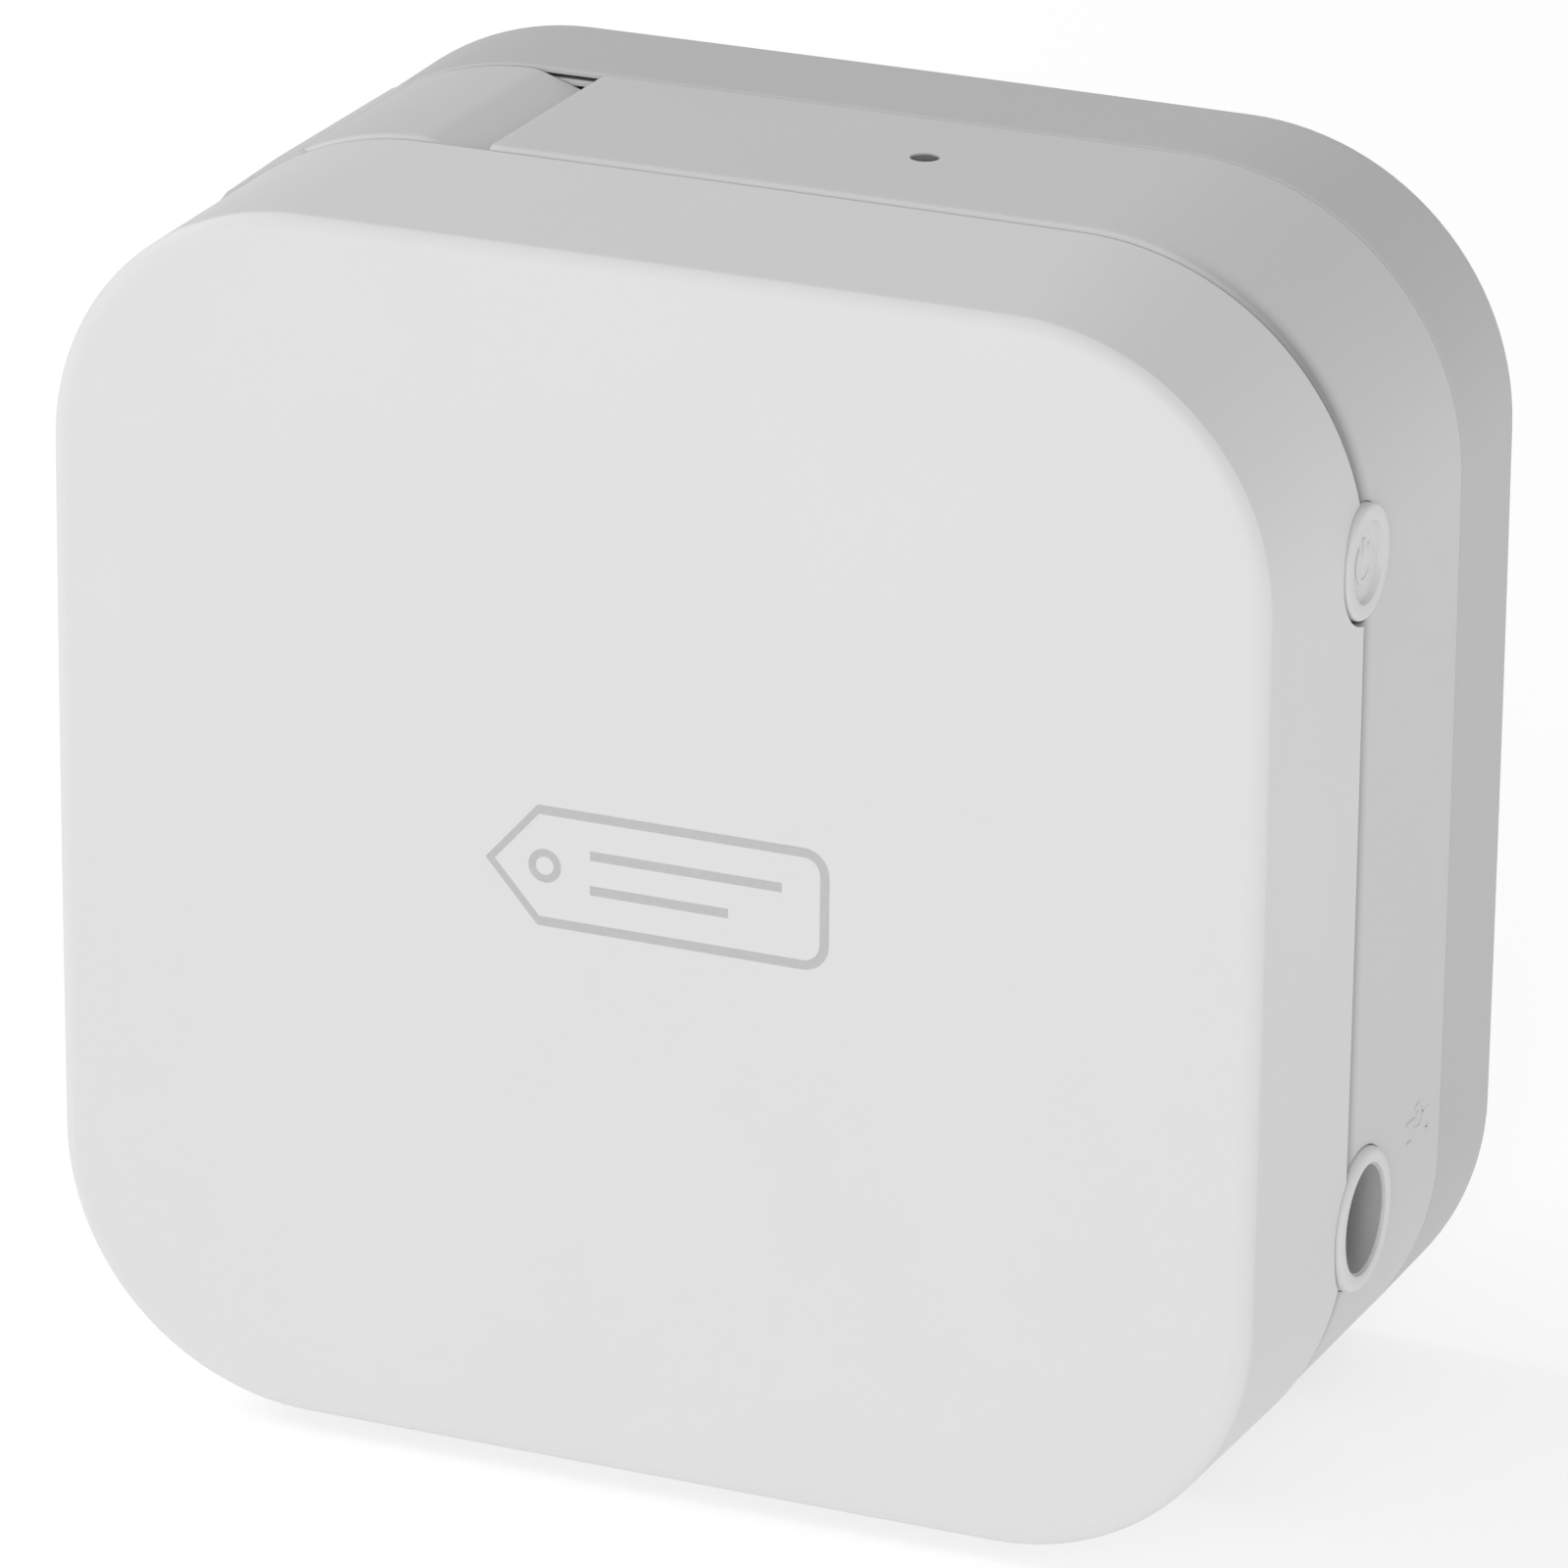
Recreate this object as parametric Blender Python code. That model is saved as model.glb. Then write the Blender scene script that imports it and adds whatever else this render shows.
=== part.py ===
"""A palm-sized label maker that prints on tape from a cassette and is driven from a phone.

The case is a rounded square standing on its edge: a deep front shell, a middle frame whose
outside is a band with a flat strip on top, and a lift-off back cover. The front shell hides the
board and the gear train. The back cover hides the tape cassette and six cells.

X runs to the right, Y to the back and Z up. All sizes are millimetres, and heights are counted
from the middle of the case, until place() turns them into metres above the resting surface.
"""

import math

import bmesh
import bpy
from mathutils import Matrix, Vector

MM = 0.001

# Case
WIDTH = 115.0
HEIGHT = 115.0
DEPTH = 61.0
HALF = WIDTH / 2
CORNER_RADIUS = 24.0
SIDE_BOW = 0.43
WALL = 2.2
GAP = 0.3
FRONT_FACE = -DEPTH / 2
BACK_FACE = DEPTH / 2
FRONT_SEAM = -9.5
REAR_SEAM = 14.9
FRONT_HALF = 56.65
BACK_HALF = 57.1
FRONT_FILLET = 1.6
BACK_FILLET = 3.0
FILLET_STEPS = 4
CORNER_STEPS = 6
BOW_STEPS = 4

# Frame: the band between the shells, and the tongues that their rims slide over
BAND_SIDE_HALF = 57.1
TONGUE_HALF = 56.3
REBATE_HALF = TONGUE_HALF + GAP
FRAME_INNER_HALF = 55.1
TONGUE_LENGTH = 2.9
WALL_FRONT = -6.5
WALL_REAR = -4.5
STRIP_EDGE_X = -23.4

# Openings in the right side
BUTTON_Y = -8.7
BUTTON_Z = 31.1
BUTTON_RADIUS = 5.0
BUTTON_TRAVEL = 0.8
BUTTON_FLANGE_X = 54.0
BUTTON_FACE_X = 57.2
SWITCH_TIP_X = 51.8
JACK_Y = -4.7
JACK_Z = -30.8
JACK_RADIUS = 5.0
COLLAR_RADIUS = 6.5
COLLAR_FACE_X = 57.4
STATUS_LIGHT = (11.0, 3.4)

# Cutter lever
LEVER_PIVOT = (-52.0, 3.0)
LEVER_FRONT = -9.3
LEVER_REAR = 14.0
LEVER_LOW_Z = 7.3
LEVER_SKIN = 1.8
SCOOP_START_X = -31.0
SCOOP_END_X = -24.0
SCOOP_DROP = 2.9
LEVER_TIP_X = -22.5
LEVER_PIN_RADIUS = 1.45

# Tape path
TAPE_CENTRE_Y = 3.0
TAPE_WIDTH = 12.0
TAPE_Z = 51.95
TAPE_THICKNESS = 0.15

# Gear train
MODULE = 0.8
GEAR_FRONT = -10.2
GEAR_REAR = -7.0
GEAR_SLACK = 0.05
GEAR_BACKLASH = 0.24
DRIVE_TEETH = 24
IDLER_TEETH = 24
PLATEN_TEETH = 12
SPINDLE_TEETH = 16
PINION_TEETH = 9
DRIVE_AXIS = (-25.5, 29.3)

# Case screws, in the wall of the frame
SCREW_PLACES = [(44.0, 47.0), (44.0, -47.0), (-44.0, -47.0), (-46.0, -8.0)]
SCREW_BOSS_END = -9.5

# Cells: AAA
CELL_COUNT = 6
CELL_RADIUS = 5.25
CELL_LENGTH = 44.5
CELL_PITCH = 10.9
CELL_Y = 1.2
CELL_LOW_Z = -52.2
CELL_HIGH_Z = CELL_LOW_Z + CELL_LENGTH

# Tape cassette
CASSETTE_LEFT = -14.0
CASSETTE_RIGHT = 49.5
CASSETTE_LOW = 5.0
CASSETTE_HIGH = 51.7
CASSETTE_FRONT = -3.9
CASSETTE_SPLIT = 10.0
CASSETTE_REAR = 12.0
CASSETTE_WALL = 1.2
POCKET = (-3.6, 7.6, 43.0)
TAPE_ROLL_PLACE = (31.0, 24.0)
RIBBON_ROLL_PLACE = (-3.0, 15.0)

# Main board
BOARD_FRONT = -11.5
BOARD_REAR = -9.9

# Print head
HEAD_PIVOT = (26.0, 53.4)
HEAD_PIN_RADIUS = 0.4

X_AXIS = Vector((1, 0, 0))
Y_AXIS = Vector((0, 1, 0))
Z_AXIS = Vector((0, 0, 1))


# --- outlines -------------------------------------------------------------------------------

def arc(centre, radius, start, end, steps):
    """Points on an arc in the XZ plane, angles in degrees from +X towards +Z."""
    angles = [math.radians(start + (end - start) * i / steps) for i in range(steps + 1)]
    return [(centre[0] + radius * math.cos(a), centre[1] + radius * math.sin(a)) for a in angles]


def bow(distance, reach):
    """How far a side has fallen back at this distance from its middle."""
    return SIDE_BOW * (1 - math.cos(math.pi / 2 * distance / reach))


def case_outline(half, side_half=None, radius=None):
    """The rounded square, with gently bowed sides and top and a flat bottom."""
    side_half = side_half or half
    radius = radius or CORNER_RADIUS - (HALF - half)
    top = half - SIDE_BOW
    side = side_half - SIDE_BOW
    corner_x = side - radius
    corner_z = top - radius
    low_z = radius - half
    points = []

    def side_run(sign):
        """The points between the corners of one side, going up on the right and down on the left."""
        for i in range(1, BOW_STEPS):
            z = sign * (low_z + (corner_z - low_z) * i / BOW_STEPS) + (0 if sign > 0 else low_z + corner_z)
            middle = (low_z + corner_z) / 2
            reach = (corner_z - low_z) / 2
            points.append((sign * (side_half - bow(abs(z - middle), reach)), z))

    side_run(1)
    points += arc((corner_x, corner_z), radius, 0, 90, CORNER_STEPS)
    for i in range(1, BOW_STEPS):
        x = corner_x - 2 * corner_x * i / BOW_STEPS
        points.append((x, half - bow(abs(x), corner_x)))
    points += arc((-corner_x, corner_z), radius, 90, 180, CORNER_STEPS)
    side_run(-1)
    points += arc((-corner_x, low_z), radius, 180, 270, CORNER_STEPS)
    points += arc((corner_x, low_z), radius, 270, 360, CORNER_STEPS)
    return points


def gear_outline(teeth, phase):
    """An involute gear with a little backlash. phase is the angle of one tooth's middle."""
    pitch = MODULE * teeth / 2
    base = pitch * math.cos(math.radians(20))
    tip = pitch + 0.85 * MODULE
    root = pitch - 1.2 * MODULE
    pitch_angle = math.radians(20)
    at_base = (math.pi * MODULE / 2 - GEAR_BACKLASH) / 2 / pitch + math.tan(pitch_angle) - pitch_angle
    relief = 0.72 if teeth < 17 else 1.0

    def half_angle(radius):
        if radius <= base:
            return at_base
        pressure = math.acos(base / radius)
        return at_base - (math.tan(pressure) - pressure)

    flank = [(root, at_base * relief), ((base + pitch) / 2, half_angle((base + pitch) / 2)), (tip, half_angle(tip))]
    points = []
    for tooth in range(teeth):
        middle = phase + 2 * math.pi * tooth / teeth
        sides = [(r, middle - a) for r, a in flank] + [(r, middle + a) for r, a in reversed(flank)]
        points += [(r * math.cos(a), r * math.sin(a)) for r, a in sides]
    return points


# --- solids, in millimetres -----------------------------------------------------------------

def new_loop(bm, points, y):
    return [bm.verts.new((x, y, z)) for x, z in points]


def skin_between(bm, first, second):
    """Quads from one loop of vertices to the next, which has as many."""
    for a, b, c, d in zip(first, first[1:] + first[:1], second[1:] + second[:1], second):
        bm.faces.new((a, b, c, d))


def finish(bm):
    bmesh.ops.recalc_face_normals(bm, faces=bm.faces)
    return bm


def loft(sections, ring=False):
    """Joins (y, outline) sections in order. A ring's last section joins its first; else both ends close."""
    bm = bmesh.new()
    loops = [new_loop(bm, points, y) for y, points in sections]
    for first, second in zip(loops, loops[1:]):
        skin_between(bm, first, second)
    if ring:
        skin_between(bm, loops[-1], loops[0])
    else:
        bm.faces.new(loops[0])
        bm.faces.new(loops[-1])
    return finish(bm)


def prism(points, low, high):
    """An XZ outline extruded along Y."""
    bm = bmesh.new()
    face = bm.faces.new(new_loop(bm, points, low))
    made = bmesh.ops.extrude_face_region(bm, geom=[face], use_keep_orig=True)["geom"]
    moved = [item for item in made if isinstance(item, bmesh.types.BMVert)]
    bmesh.ops.translate(bm, vec=(0, high - low, 0), verts=moved)
    return finish(bm)


def block(low, high):
    bm = bmesh.new()
    low = Vector(low)
    high = Vector(high)
    matrix = Matrix.Translation((low + high) / 2) @ Matrix.Diagonal((high - low).to_4d())
    matrix[3][3] = 1
    bmesh.ops.create_cube(bm, size=1, matrix=matrix)
    return finish(bm)


def turned(profile, centre, axis, segments=24, ring=False):
    """Spins (along, radius) points about an axis through centre. A ring's profile closes on itself."""
    bm = bmesh.new()
    across = Z_AXIS if axis != Z_AXIS else X_AXIS
    verts = [bm.verts.new(Vector(centre) + axis * along + across * radius) for along, radius in profile]
    pairs = list(zip(verts, verts[1:]))
    if ring:
        pairs.append((verts[-1], verts[0]))
    edges = [bm.edges.new(pair) for pair in pairs]
    bmesh.ops.spin(bm, geom=verts + edges, cent=centre, axis=axis, angle=2 * math.pi, steps=segments,
                   use_merge=True)
    bmesh.ops.remove_doubles(bm, verts=bm.verts, dist=0.0005)
    return finish(bm)


def rod(low, high, radius, centre, axis, segments=20):
    """A plain round bar between two places along its axis."""
    return turned([(low, 0), (low, radius), (high, radius), (high, 0)], centre, axis, segments)


def tube(low, high, inner, outer, centre, axis, segments=24):
    profile = [(low, inner), (low, outer), (high, outer), (high, inner)]
    return turned(profile, centre, axis, segments, ring=True)


def joined(*solids):
    """Several solids in one mesh, for a cutter or a union."""
    bm = bmesh.new()
    for solid in solids:
        mesh = bpy.data.meshes.new("piece")
        solid.to_mesh(mesh)
        solid.free()
        bm.from_mesh(mesh)
        bpy.data.meshes.remove(mesh)
    return bm


# --- objects --------------------------------------------------------------------------------

def material(name, colour, roughness, metallic=0.0):
    found = bpy.data.materials.get(name)
    if found:
        return found
    made = bpy.data.materials.new(name)
    made.use_nodes = True
    shader = made.node_tree.nodes["Principled BSDF"]
    shader.inputs["Base Color"].default_value = (*colour, 1)
    shader.inputs["Roughness"].default_value = roughness
    shader.inputs["Metallic"].default_value = metallic
    return made


def white_shell():
    return material("white_plastic", (0.80, 0.80, 0.80), 0.5)


def grey_band():
    return material("pale_grey_plastic", (0.62, 0.62, 0.62), 0.5)


def frame_plastic():
    return material("dark_plastic", (0.12, 0.12, 0.13), 0.5)


def gear_plastic():
    return material("gear_plastic", (0.85, 0.82, 0.74), 0.4)


def steel():
    return material("steel", (0.60, 0.60, 0.62), 0.3, 1.0)


def place(name, bm, look, origin=(0, 0, 0)):
    """Makes the object, in metres above the resting surface, with its origin where it is told."""
    origin = Vector(origin)
    bmesh.ops.translate(bm, vec=-origin, verts=bm.verts)
    bmesh.ops.scale(bm, vec=(MM, MM, MM), verts=bm.verts)
    mesh = bpy.data.meshes.new(name)
    bm.to_mesh(mesh)
    bm.free()
    mesh.shade_smooth()
    mesh.set_sharp_from_angle(angle=math.radians(35))
    obj = bpy.data.objects.new(name, mesh)
    obj.location = (origin + Z_AXIS * HALF) * MM
    bpy.context.collection.objects.link(obj)
    if look:
        mesh.materials.append(look)
    return obj


def change(obj, operation, bm, label):
    """Adds or cuts a solid with a Boolean whose other object stays out of renders."""
    helper = place(obj.name + "_" + label, bm, None)
    helper.hide_render = True
    helper.display_type = "WIRE"
    modifier = obj.modifiers.new(label, "BOOLEAN")
    modifier.operation = operation
    modifier.solver = "EXACT"
    modifier.object = helper


def add_to(obj, label, *solids):
    change(obj, "UNION", joined(*solids), label)


def cut_from(obj, label, *solids):
    change(obj, "DIFFERENCE", joined(*solids), label)


# --- case -----------------------------------------------------------------------------------

def side_hole(radius, y, z, low=51.0, high=60.0):
    return rod(low, high, radius, (0, y, z), X_AXIS, 24)


def build_front_shell():
    rim = FRONT_SEAM - GAP / 2
    rebate = FRONT_SEAM - TONGUE_LENGTH - GAP
    floor = FRONT_FACE + WALL
    sections = [
        (floor, case_outline(53.4)),
        (floor + 1, case_outline(54.3)),
        (rebate, case_outline(55.2)),
        (rebate, case_outline(REBATE_HALF)),
        (rim, case_outline(REBATE_HALF)),
        (rim, case_outline(HALF)),
    ]
    for i in range(FILLET_STEPS + 1):
        angle = math.pi / 2 * i / FILLET_STEPS
        y = FRONT_FACE + FRONT_FILLET * (1 - math.sin(angle))
        half = FRONT_HALF - FRONT_FILLET * (1 - math.cos(angle))
        radius = CORNER_RADIUS - 1.6 - (FRONT_HALF - half)
        sections.append((y, case_outline(half, radius=radius)))
    shell = place("front_shell", loft(sections), white_shell())
    bosses = [rod(floor - 0.3, SCREW_BOSS_END - GAP, 3.2, (x, 0, z), Y_AXIS, 14) for x, z in SCREW_PLACES]
    add_to(shell, "bosses", *bosses)
    pilots = [rod(-24, -8, 1.35, (x, 0, z), Y_AXIS, 12) for x, z in SCREW_PLACES]
    cut_from(shell, "pilot_holes", *pilots)
    cut_from(shell, "button_notch", side_hole(BUTTON_RADIUS + 0.6, BUTTON_Y, BUTTON_Z))
    cut_from(shell, "jack_notch", side_hole(COLLAR_RADIUS + 0.7, JACK_Y, JACK_Z))


def build_back_cover():
    rim = REAR_SEAM + GAP / 2
    rebate = REAR_SEAM + TONGUE_LENGTH + GAP + 0.2
    floor = BACK_FACE - WALL
    sections = [
        (floor, case_outline(53.6)),
        (floor - 1, case_outline(54.6)),
        (rebate, case_outline(55.2)),
        (rebate, case_outline(REBATE_HALF)),
        (rim, case_outline(REBATE_HALF)),
        (rim, case_outline(HALF)),
    ]
    for i in range(FILLET_STEPS + 1):
        angle = math.pi / 2 * i / FILLET_STEPS
        y = BACK_FACE - BACK_FILLET * (1 - math.sin(angle))
        half = BACK_HALF - BACK_FILLET * (1 - math.cos(angle))
        sections.append((y, case_outline(half)))
    cover = place("back_cover", loft(sections), white_shell())
    tabs = [block((x - 4, 12.8, -54.7), (x + 4, floor + 0.4, -53.5)) for x in (-20, 20)]
    latch = block((-9, 12.8, 53.3), (9, floor + 0.4, 54.5))
    add_to(cover, "tabs", *tabs, latch)


def frame_wall():
    """The wall across the frame, with room for the lever, the motor shaft, the button and the inlet."""
    wall = place("frame_wall_helper", prism(case_outline(FRAME_INNER_HALF + 0.2), WALL_FRONT, WALL_REAR), None)
    low_z = LEVER_LOW_Z - 0.5
    lever_room = [(-17.2, 49.2)] + arc((-33.0, 31.7), 17.5, 90, 180, 8) + [(-50.5, low_z), (-60, low_z), (-60, 60),
                                                                          (-17.2, 60)]
    cut_from(wall, "lever_room", prism(lever_room, -9, -3))
    cut_from(wall, "button_room", side_hole(6.8, BUTTON_Y, BUTTON_Z, 52.2, 54.6))
    cut_from(wall, "jack_room", block((42, -9, JACK_Z - 6.8), (55.0, -3, JACK_Z + 6.8)))
    return wall


def build_center_frame(gears):
    front = FRONT_SEAM + GAP / 2
    rear = REAR_SEAM - GAP / 2
    band = case_outline(HALF, BAND_SIDE_HALF)
    tongue = case_outline(TONGUE_HALF)
    inner = case_outline(FRAME_INNER_HALF)
    front_end = FRONT_SEAM - TONGUE_LENGTH
    rear_end = REAR_SEAM + TONGUE_LENGTH + 0.2
    ring = loft([(front_end, inner), (front_end, tongue), (front, tongue), (front, band),
                 (rear, band), (rear, tongue), (rear_end, tongue), (rear_end, inner)], ring=True)
    frame = place("center_frame", ring, grey_band())

    # The corner that the lever fills: first the skin over the tongues, then the whole wall between them.
    outer_skin = prism([(-70, 7), (STRIP_EDGE_X, 7), (STRIP_EDGE_X, 70), (-70, 70)], front - 0.5, rear + 0.5)
    keep = prism(case_outline(TONGUE_HALF - 0.1), front - 1, rear + 1)
    skin_cutter = place("lever_skin_helper", outer_skin, None)
    change(skin_cutter, "DIFFERENCE", keep, "core")
    skin_cutter.hide_render = True
    skin_cutter.display_type = "WIRE"
    skin_cut = frame.modifiers.new("lever_skin", "BOOLEAN")
    skin_cut.operation = "DIFFERENCE"
    skin_cut.object = skin_cutter
    edge_x = STRIP_EDGE_X - 0.1
    opening = prism([(-70, 7.1), (edge_x, 7.1), (edge_x, 70), (-70, 70)], LEVER_FRONT - GAP, rear - 0.5)
    cut_from(frame, "lever_opening", opening)

    wall = frame_wall()
    wall.hide_render = True
    wall.display_type = "WIRE"
    wall_join = frame.modifiers.new("wall", "BOOLEAN")
    wall_join.operation = "UNION"
    wall_join.object = wall

    cell_wall = 34.0
    bay_top = CELL_HIGH_Z + 3.0
    bay = prism([(-cell_wall - 1.5, -55.2), (-cell_wall, -55.2), (-cell_wall, bay_top), (cell_wall, bay_top),
                 (cell_wall, -55.2), (cell_wall + 1.5, -55.2), (cell_wall + 1.5, bay_top + 1.5),
                 (-cell_wall - 1.5, bay_top + 1.5)], WALL_REAR - 0.3, 12)
    add_to(frame, "cell_bay", bay)

    bosses = [rod(SCREW_BOSS_END, WALL_REAR - 0.2, 4.2, (x, 0, z), Y_AXIS, 16) for x, z in SCREW_PLACES]
    posts = [rod(GEAR_FRONT - 0.4, WALL_REAR - 0.5, 1.25, (*gears[name][:1], 0, gears[name][1]), Y_AXIS, 12)
             for name in ("drive_gear", "idler_gear")]
    standoffs = [rod(BOARD_REAR + GAP, WALL_REAR - 0.5, 2, (18, 0, z), Y_AXIS, 12) for z in (-36, 36)]
    add_to(frame, "posts", *bosses, *posts, *standoffs)
    knife_block = block((-16.0, WALL_REAR - 0.3, 38), (-14.4, 9.6, 44.7))
    spring_ledge = block((-43.5, WALL_REAR - 0.3, 42), (-36.5, 6.3, 43.5))
    lever_ear = block((-55.4, 10.6, -1), (-48.6, 13, 6.7))
    head_ear = block((23.5, 10.3, 52.1), (28.5, 12, 55.6))
    add_to(frame, "brackets", knife_block, spring_ledge, lever_ear, head_ear)

    holes = [rod(-12, -3, 1.35, (x, 0, z), Y_AXIS, 12) for x, z in SCREW_PLACES]
    holes.append(rod(-9, 14, LEVER_PIN_RADIUS + GAP, (LEVER_PIVOT[0], 0, LEVER_PIVOT[1]), Y_AXIS, 16))
    holes.append(rod(-8, 14, HEAD_PIN_RADIUS + GAP, (HEAD_PIVOT[0], 0, HEAD_PIVOT[1]), Y_AXIS, 12))
    for name, radius in (("motor_pinion", 2.2), ("platen_gear", 1.9), ("ribbon_spindle", 2.4)):
        x, z = gears[name][:2]
        holes.append(rod(-8, -3, radius, (x, 0, z), Y_AXIS, 16))
    cut_from(frame, "holes", *holes)
    cut_from(frame, "head_seats", *[rod(-7.3, -3, 2.9, (x, 0, z), Y_AXIS, 16) for x, z in SCREW_PLACES])
    cut_from(frame, "button_hole", side_hole(BUTTON_RADIUS + 0.6, BUTTON_Y, BUTTON_Z, 54.0))
    cut_from(frame, "jack_hole", side_hole(COLLAR_RADIUS + GAP, JACK_Y, JACK_Z, 54.0))
    cut_from(frame, "light_hole", rod(50, 60, 1.3, (*STATUS_LIGHT, 0), Z_AXIS, 16))


def build_case_screws():
    for number, (x, z) in enumerate(SCREW_PLACES, 1):
        profile = [(-18, 0), (-18, 0.6), (-17, 1.0), (-7.0, 1.0), (-7.0, 2.6), (-5.6, 2.6), (-5.0, 1.9), (-5.0, 1.1),
                   (-5.9, 0.8), (-5.9, 0)]
        place("case_screw_%d" % number, turned(profile, (x, 0, z), Y_AXIS, 10), steel())


# --- right side -----------------------------------------------------------------------------

def build_power_button():
    centre = (0, BUTTON_Y, BUTTON_Z)
    back = BUTTON_FLANGE_X - 0.9
    profile = [(SWITCH_TIP_X + BUTTON_TRAVEL + 0.1, 0), (SWITCH_TIP_X + BUTTON_TRAVEL + 0.1, 1.2), (back, 1.2),
               (back, BUTTON_RADIUS + 1.0), (BUTTON_FLANGE_X, BUTTON_RADIUS + 1.0),
               (BUTTON_FLANGE_X, BUTTON_RADIUS), (BUTTON_FACE_X - 0.3, BUTTON_RADIUS),
               (BUTTON_FACE_X, BUTTON_RADIUS - 0.3), (BUTTON_FACE_X, BUTTON_RADIUS - 0.7),
               (BUTTON_FACE_X - 0.4, BUTTON_RADIUS - 1.2), (BUTTON_FACE_X - 0.5, 0)]
    place("power_button", turned(profile, centre, X_AXIS, 22), white_shell(), (BUTTON_FACE_X, BUTTON_Y, BUTTON_Z))


def build_dc_jack():
    centre = (0, JACK_Y, JACK_Z)
    collar = [(49.9, JACK_RADIUS), (49.9, COLLAR_RADIUS), (COLLAR_FACE_X - 0.3, COLLAR_RADIUS),
              (COLLAR_FACE_X, COLLAR_RADIUS - 0.3), (COLLAR_FACE_X, JACK_RADIUS + 0.4),
              (COLLAR_FACE_X - 0.4, JACK_RADIUS)]
    place("dc_jack_collar", turned(collar, centre, X_AXIS, 24, ring=True), white_shell())
    body = place("dc_jack_body", block((42.5, -9.6, JACK_Z - 5.4), (49.5, 0.4, JACK_Z + 5.4)), frame_plastic())
    cut_from(body, "bore", rod(43.7, 50, 3.4, centre, X_AXIS, 24))
    pin = [(44.0, 0), (44.0, 0.9), (52.6, 0.9), (53.2, 0.4), (53.2, 0)]
    place("dc_jack_pin", turned(pin, centre, X_AXIS, 14), steel())


# --- electronics ----------------------------------------------------------------------------

def build_electronics():
    board_look = material("board_green", (0.03, 0.22, 0.10), 0.4)
    board = place("main_board", block((14, BOARD_FRONT, -42), (52.3, BOARD_REAR, 40)), board_look)
    cut_from(board, "jack_room", block((49.4, -13, JACK_Z - 4.8), (53, -8, JACK_Z + 4.8)))
    module = block((22, BOARD_REAR + GAP, 6), (38, BOARD_REAR + 2.2, 24))
    place("wireless_module", module, material("shield", (0.7, 0.7, 0.7), 0.35, 1.0))
    can = [(-23, 0), (-23, 3.7), (-22.7, 4), (-13, 4), (-12.6, 3.7), (-12.2, 4), (BOARD_FRONT - GAP, 4),
           (BOARD_FRONT - GAP, 0)]
    place("board_capacitor", turned(can, (24, 0, -20), Y_AXIS, 18), material("sleeve", (0.02, 0.02, 0.03), 0.4))
    switch = place("power_switch", block((47.6, -9.6, 28), (51.0, -6.8, 34.2)), frame_plastic())
    add_to(switch, "plunger", rod(50.6, SWITCH_TIP_X, 0.8, (0, BUTTON_Y, BUTTON_Z), X_AXIS, 12))
    lens = rod(55.2, 57.0, 1.0, (*STATUS_LIGHT, 0), Z_AXIS, 16)
    place("status_light_lens", lens, material("lens", (0.2, 0.25, 0.22), 0.15))


# --- cutter ---------------------------------------------------------------------------------

def scoop_height(x, top):
    along = (x - SCOOP_START_X) / (SCOOP_END_X - SCOOP_START_X)
    return top - SCOOP_DROP * along ** 1.25


def lever_outer():
    """The lever's outside in XZ, from its low end on the left side round the corner to its tip."""
    outline = case_outline(HALF - 0.1, HALF - 0.2)
    corner = [p for p in outline if p[0] < SCOOP_START_X - 0.5 and p[1] > LEVER_LOW_Z + 1]
    corner.sort(key=lambda p: -math.atan2(p[1], p[0]))
    start_x = -(HALF - 0.2) + bow(LEVER_LOW_Z, 33.0)
    top = HALF - 0.1 - bow(-SCOOP_START_X, 33.0)
    scoop = [(SCOOP_START_X + i, scoop_height(SCOOP_START_X + i, top)) for i in range(8)]
    return [(start_x, LEVER_LOW_Z)] + corner + scoop + [(LEVER_TIP_X, scoop[-1][1] - 0.2)]


def inset_path(points, depth):
    """The same open path moved to its right hand by depth."""
    moved = []
    for i, (x, z) in enumerate(points):
        before = points[max(i - 1, 0)]
        after = points[min(i + 1, len(points) - 1)]
        run = Vector((after[0] - before[0], after[1] - before[1])).normalized()
        moved.append((x + run[1] * depth, z - run[0] * depth))
    return moved


def build_cutter_lever():
    outer = lever_outer()
    inner = inset_path(outer, LEVER_SKIN)
    inner[-1] = (LEVER_TIP_X, outer[-1][1] - 1.2)
    inner[-2] = (SCOOP_END_X, outer[-2][1] - 1.3)
    skin = prism(outer + list(reversed(inner)), LEVER_FRONT, LEVER_REAR)
    pivot = (LEVER_PIVOT[0], 0, LEVER_PIVOT[1])
    lever = place("cutter_lever", skin, white_shell(), pivot)
    rib_low = [(outer[0][0], LEVER_LOW_Z + 1.7)] + [p for p in outer[1:] if p[0] < SCOOP_START_X]
    rib_outer = inset_path(rib_low, LEVER_SKIN - 0.5)
    rib_inner = inset_path(rib_low, LEVER_SKIN + 2.6)
    foot = [(-50.2, 4.0), (-53.8, 2.0), (-54.5, 4.0), (-54.6, LEVER_LOW_Z + 0.9)]
    rib = rib_outer + list(reversed(rib_inner)) + foot
    ribs = [prism(rib, y, y + 1.5) for y in (-3.2, 8.6)]
    add_to(lever, "ribs", *ribs)
    add_to(lever, "barrel", rod(-3.4, 10.2, 2.6, pivot, Y_AXIS, 20))
    cut_from(lever, "pin_hole", rod(-5, 12, LEVER_PIN_RADIUS + GAP, pivot, Y_AXIS, 20))
    tip_sides = [block((SCOOP_END_X + 0.4, low, 50), (-20, high, 56)) for low, high in ((-12, -3.9), (9.9, 16))]
    cut_from(lever, "tip_sides", *tip_sides)
    place("lever_pivot_pin", rod(-6.2, 12.7, LEVER_PIN_RADIUS, pivot, Y_AXIS, 16), steel())


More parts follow.
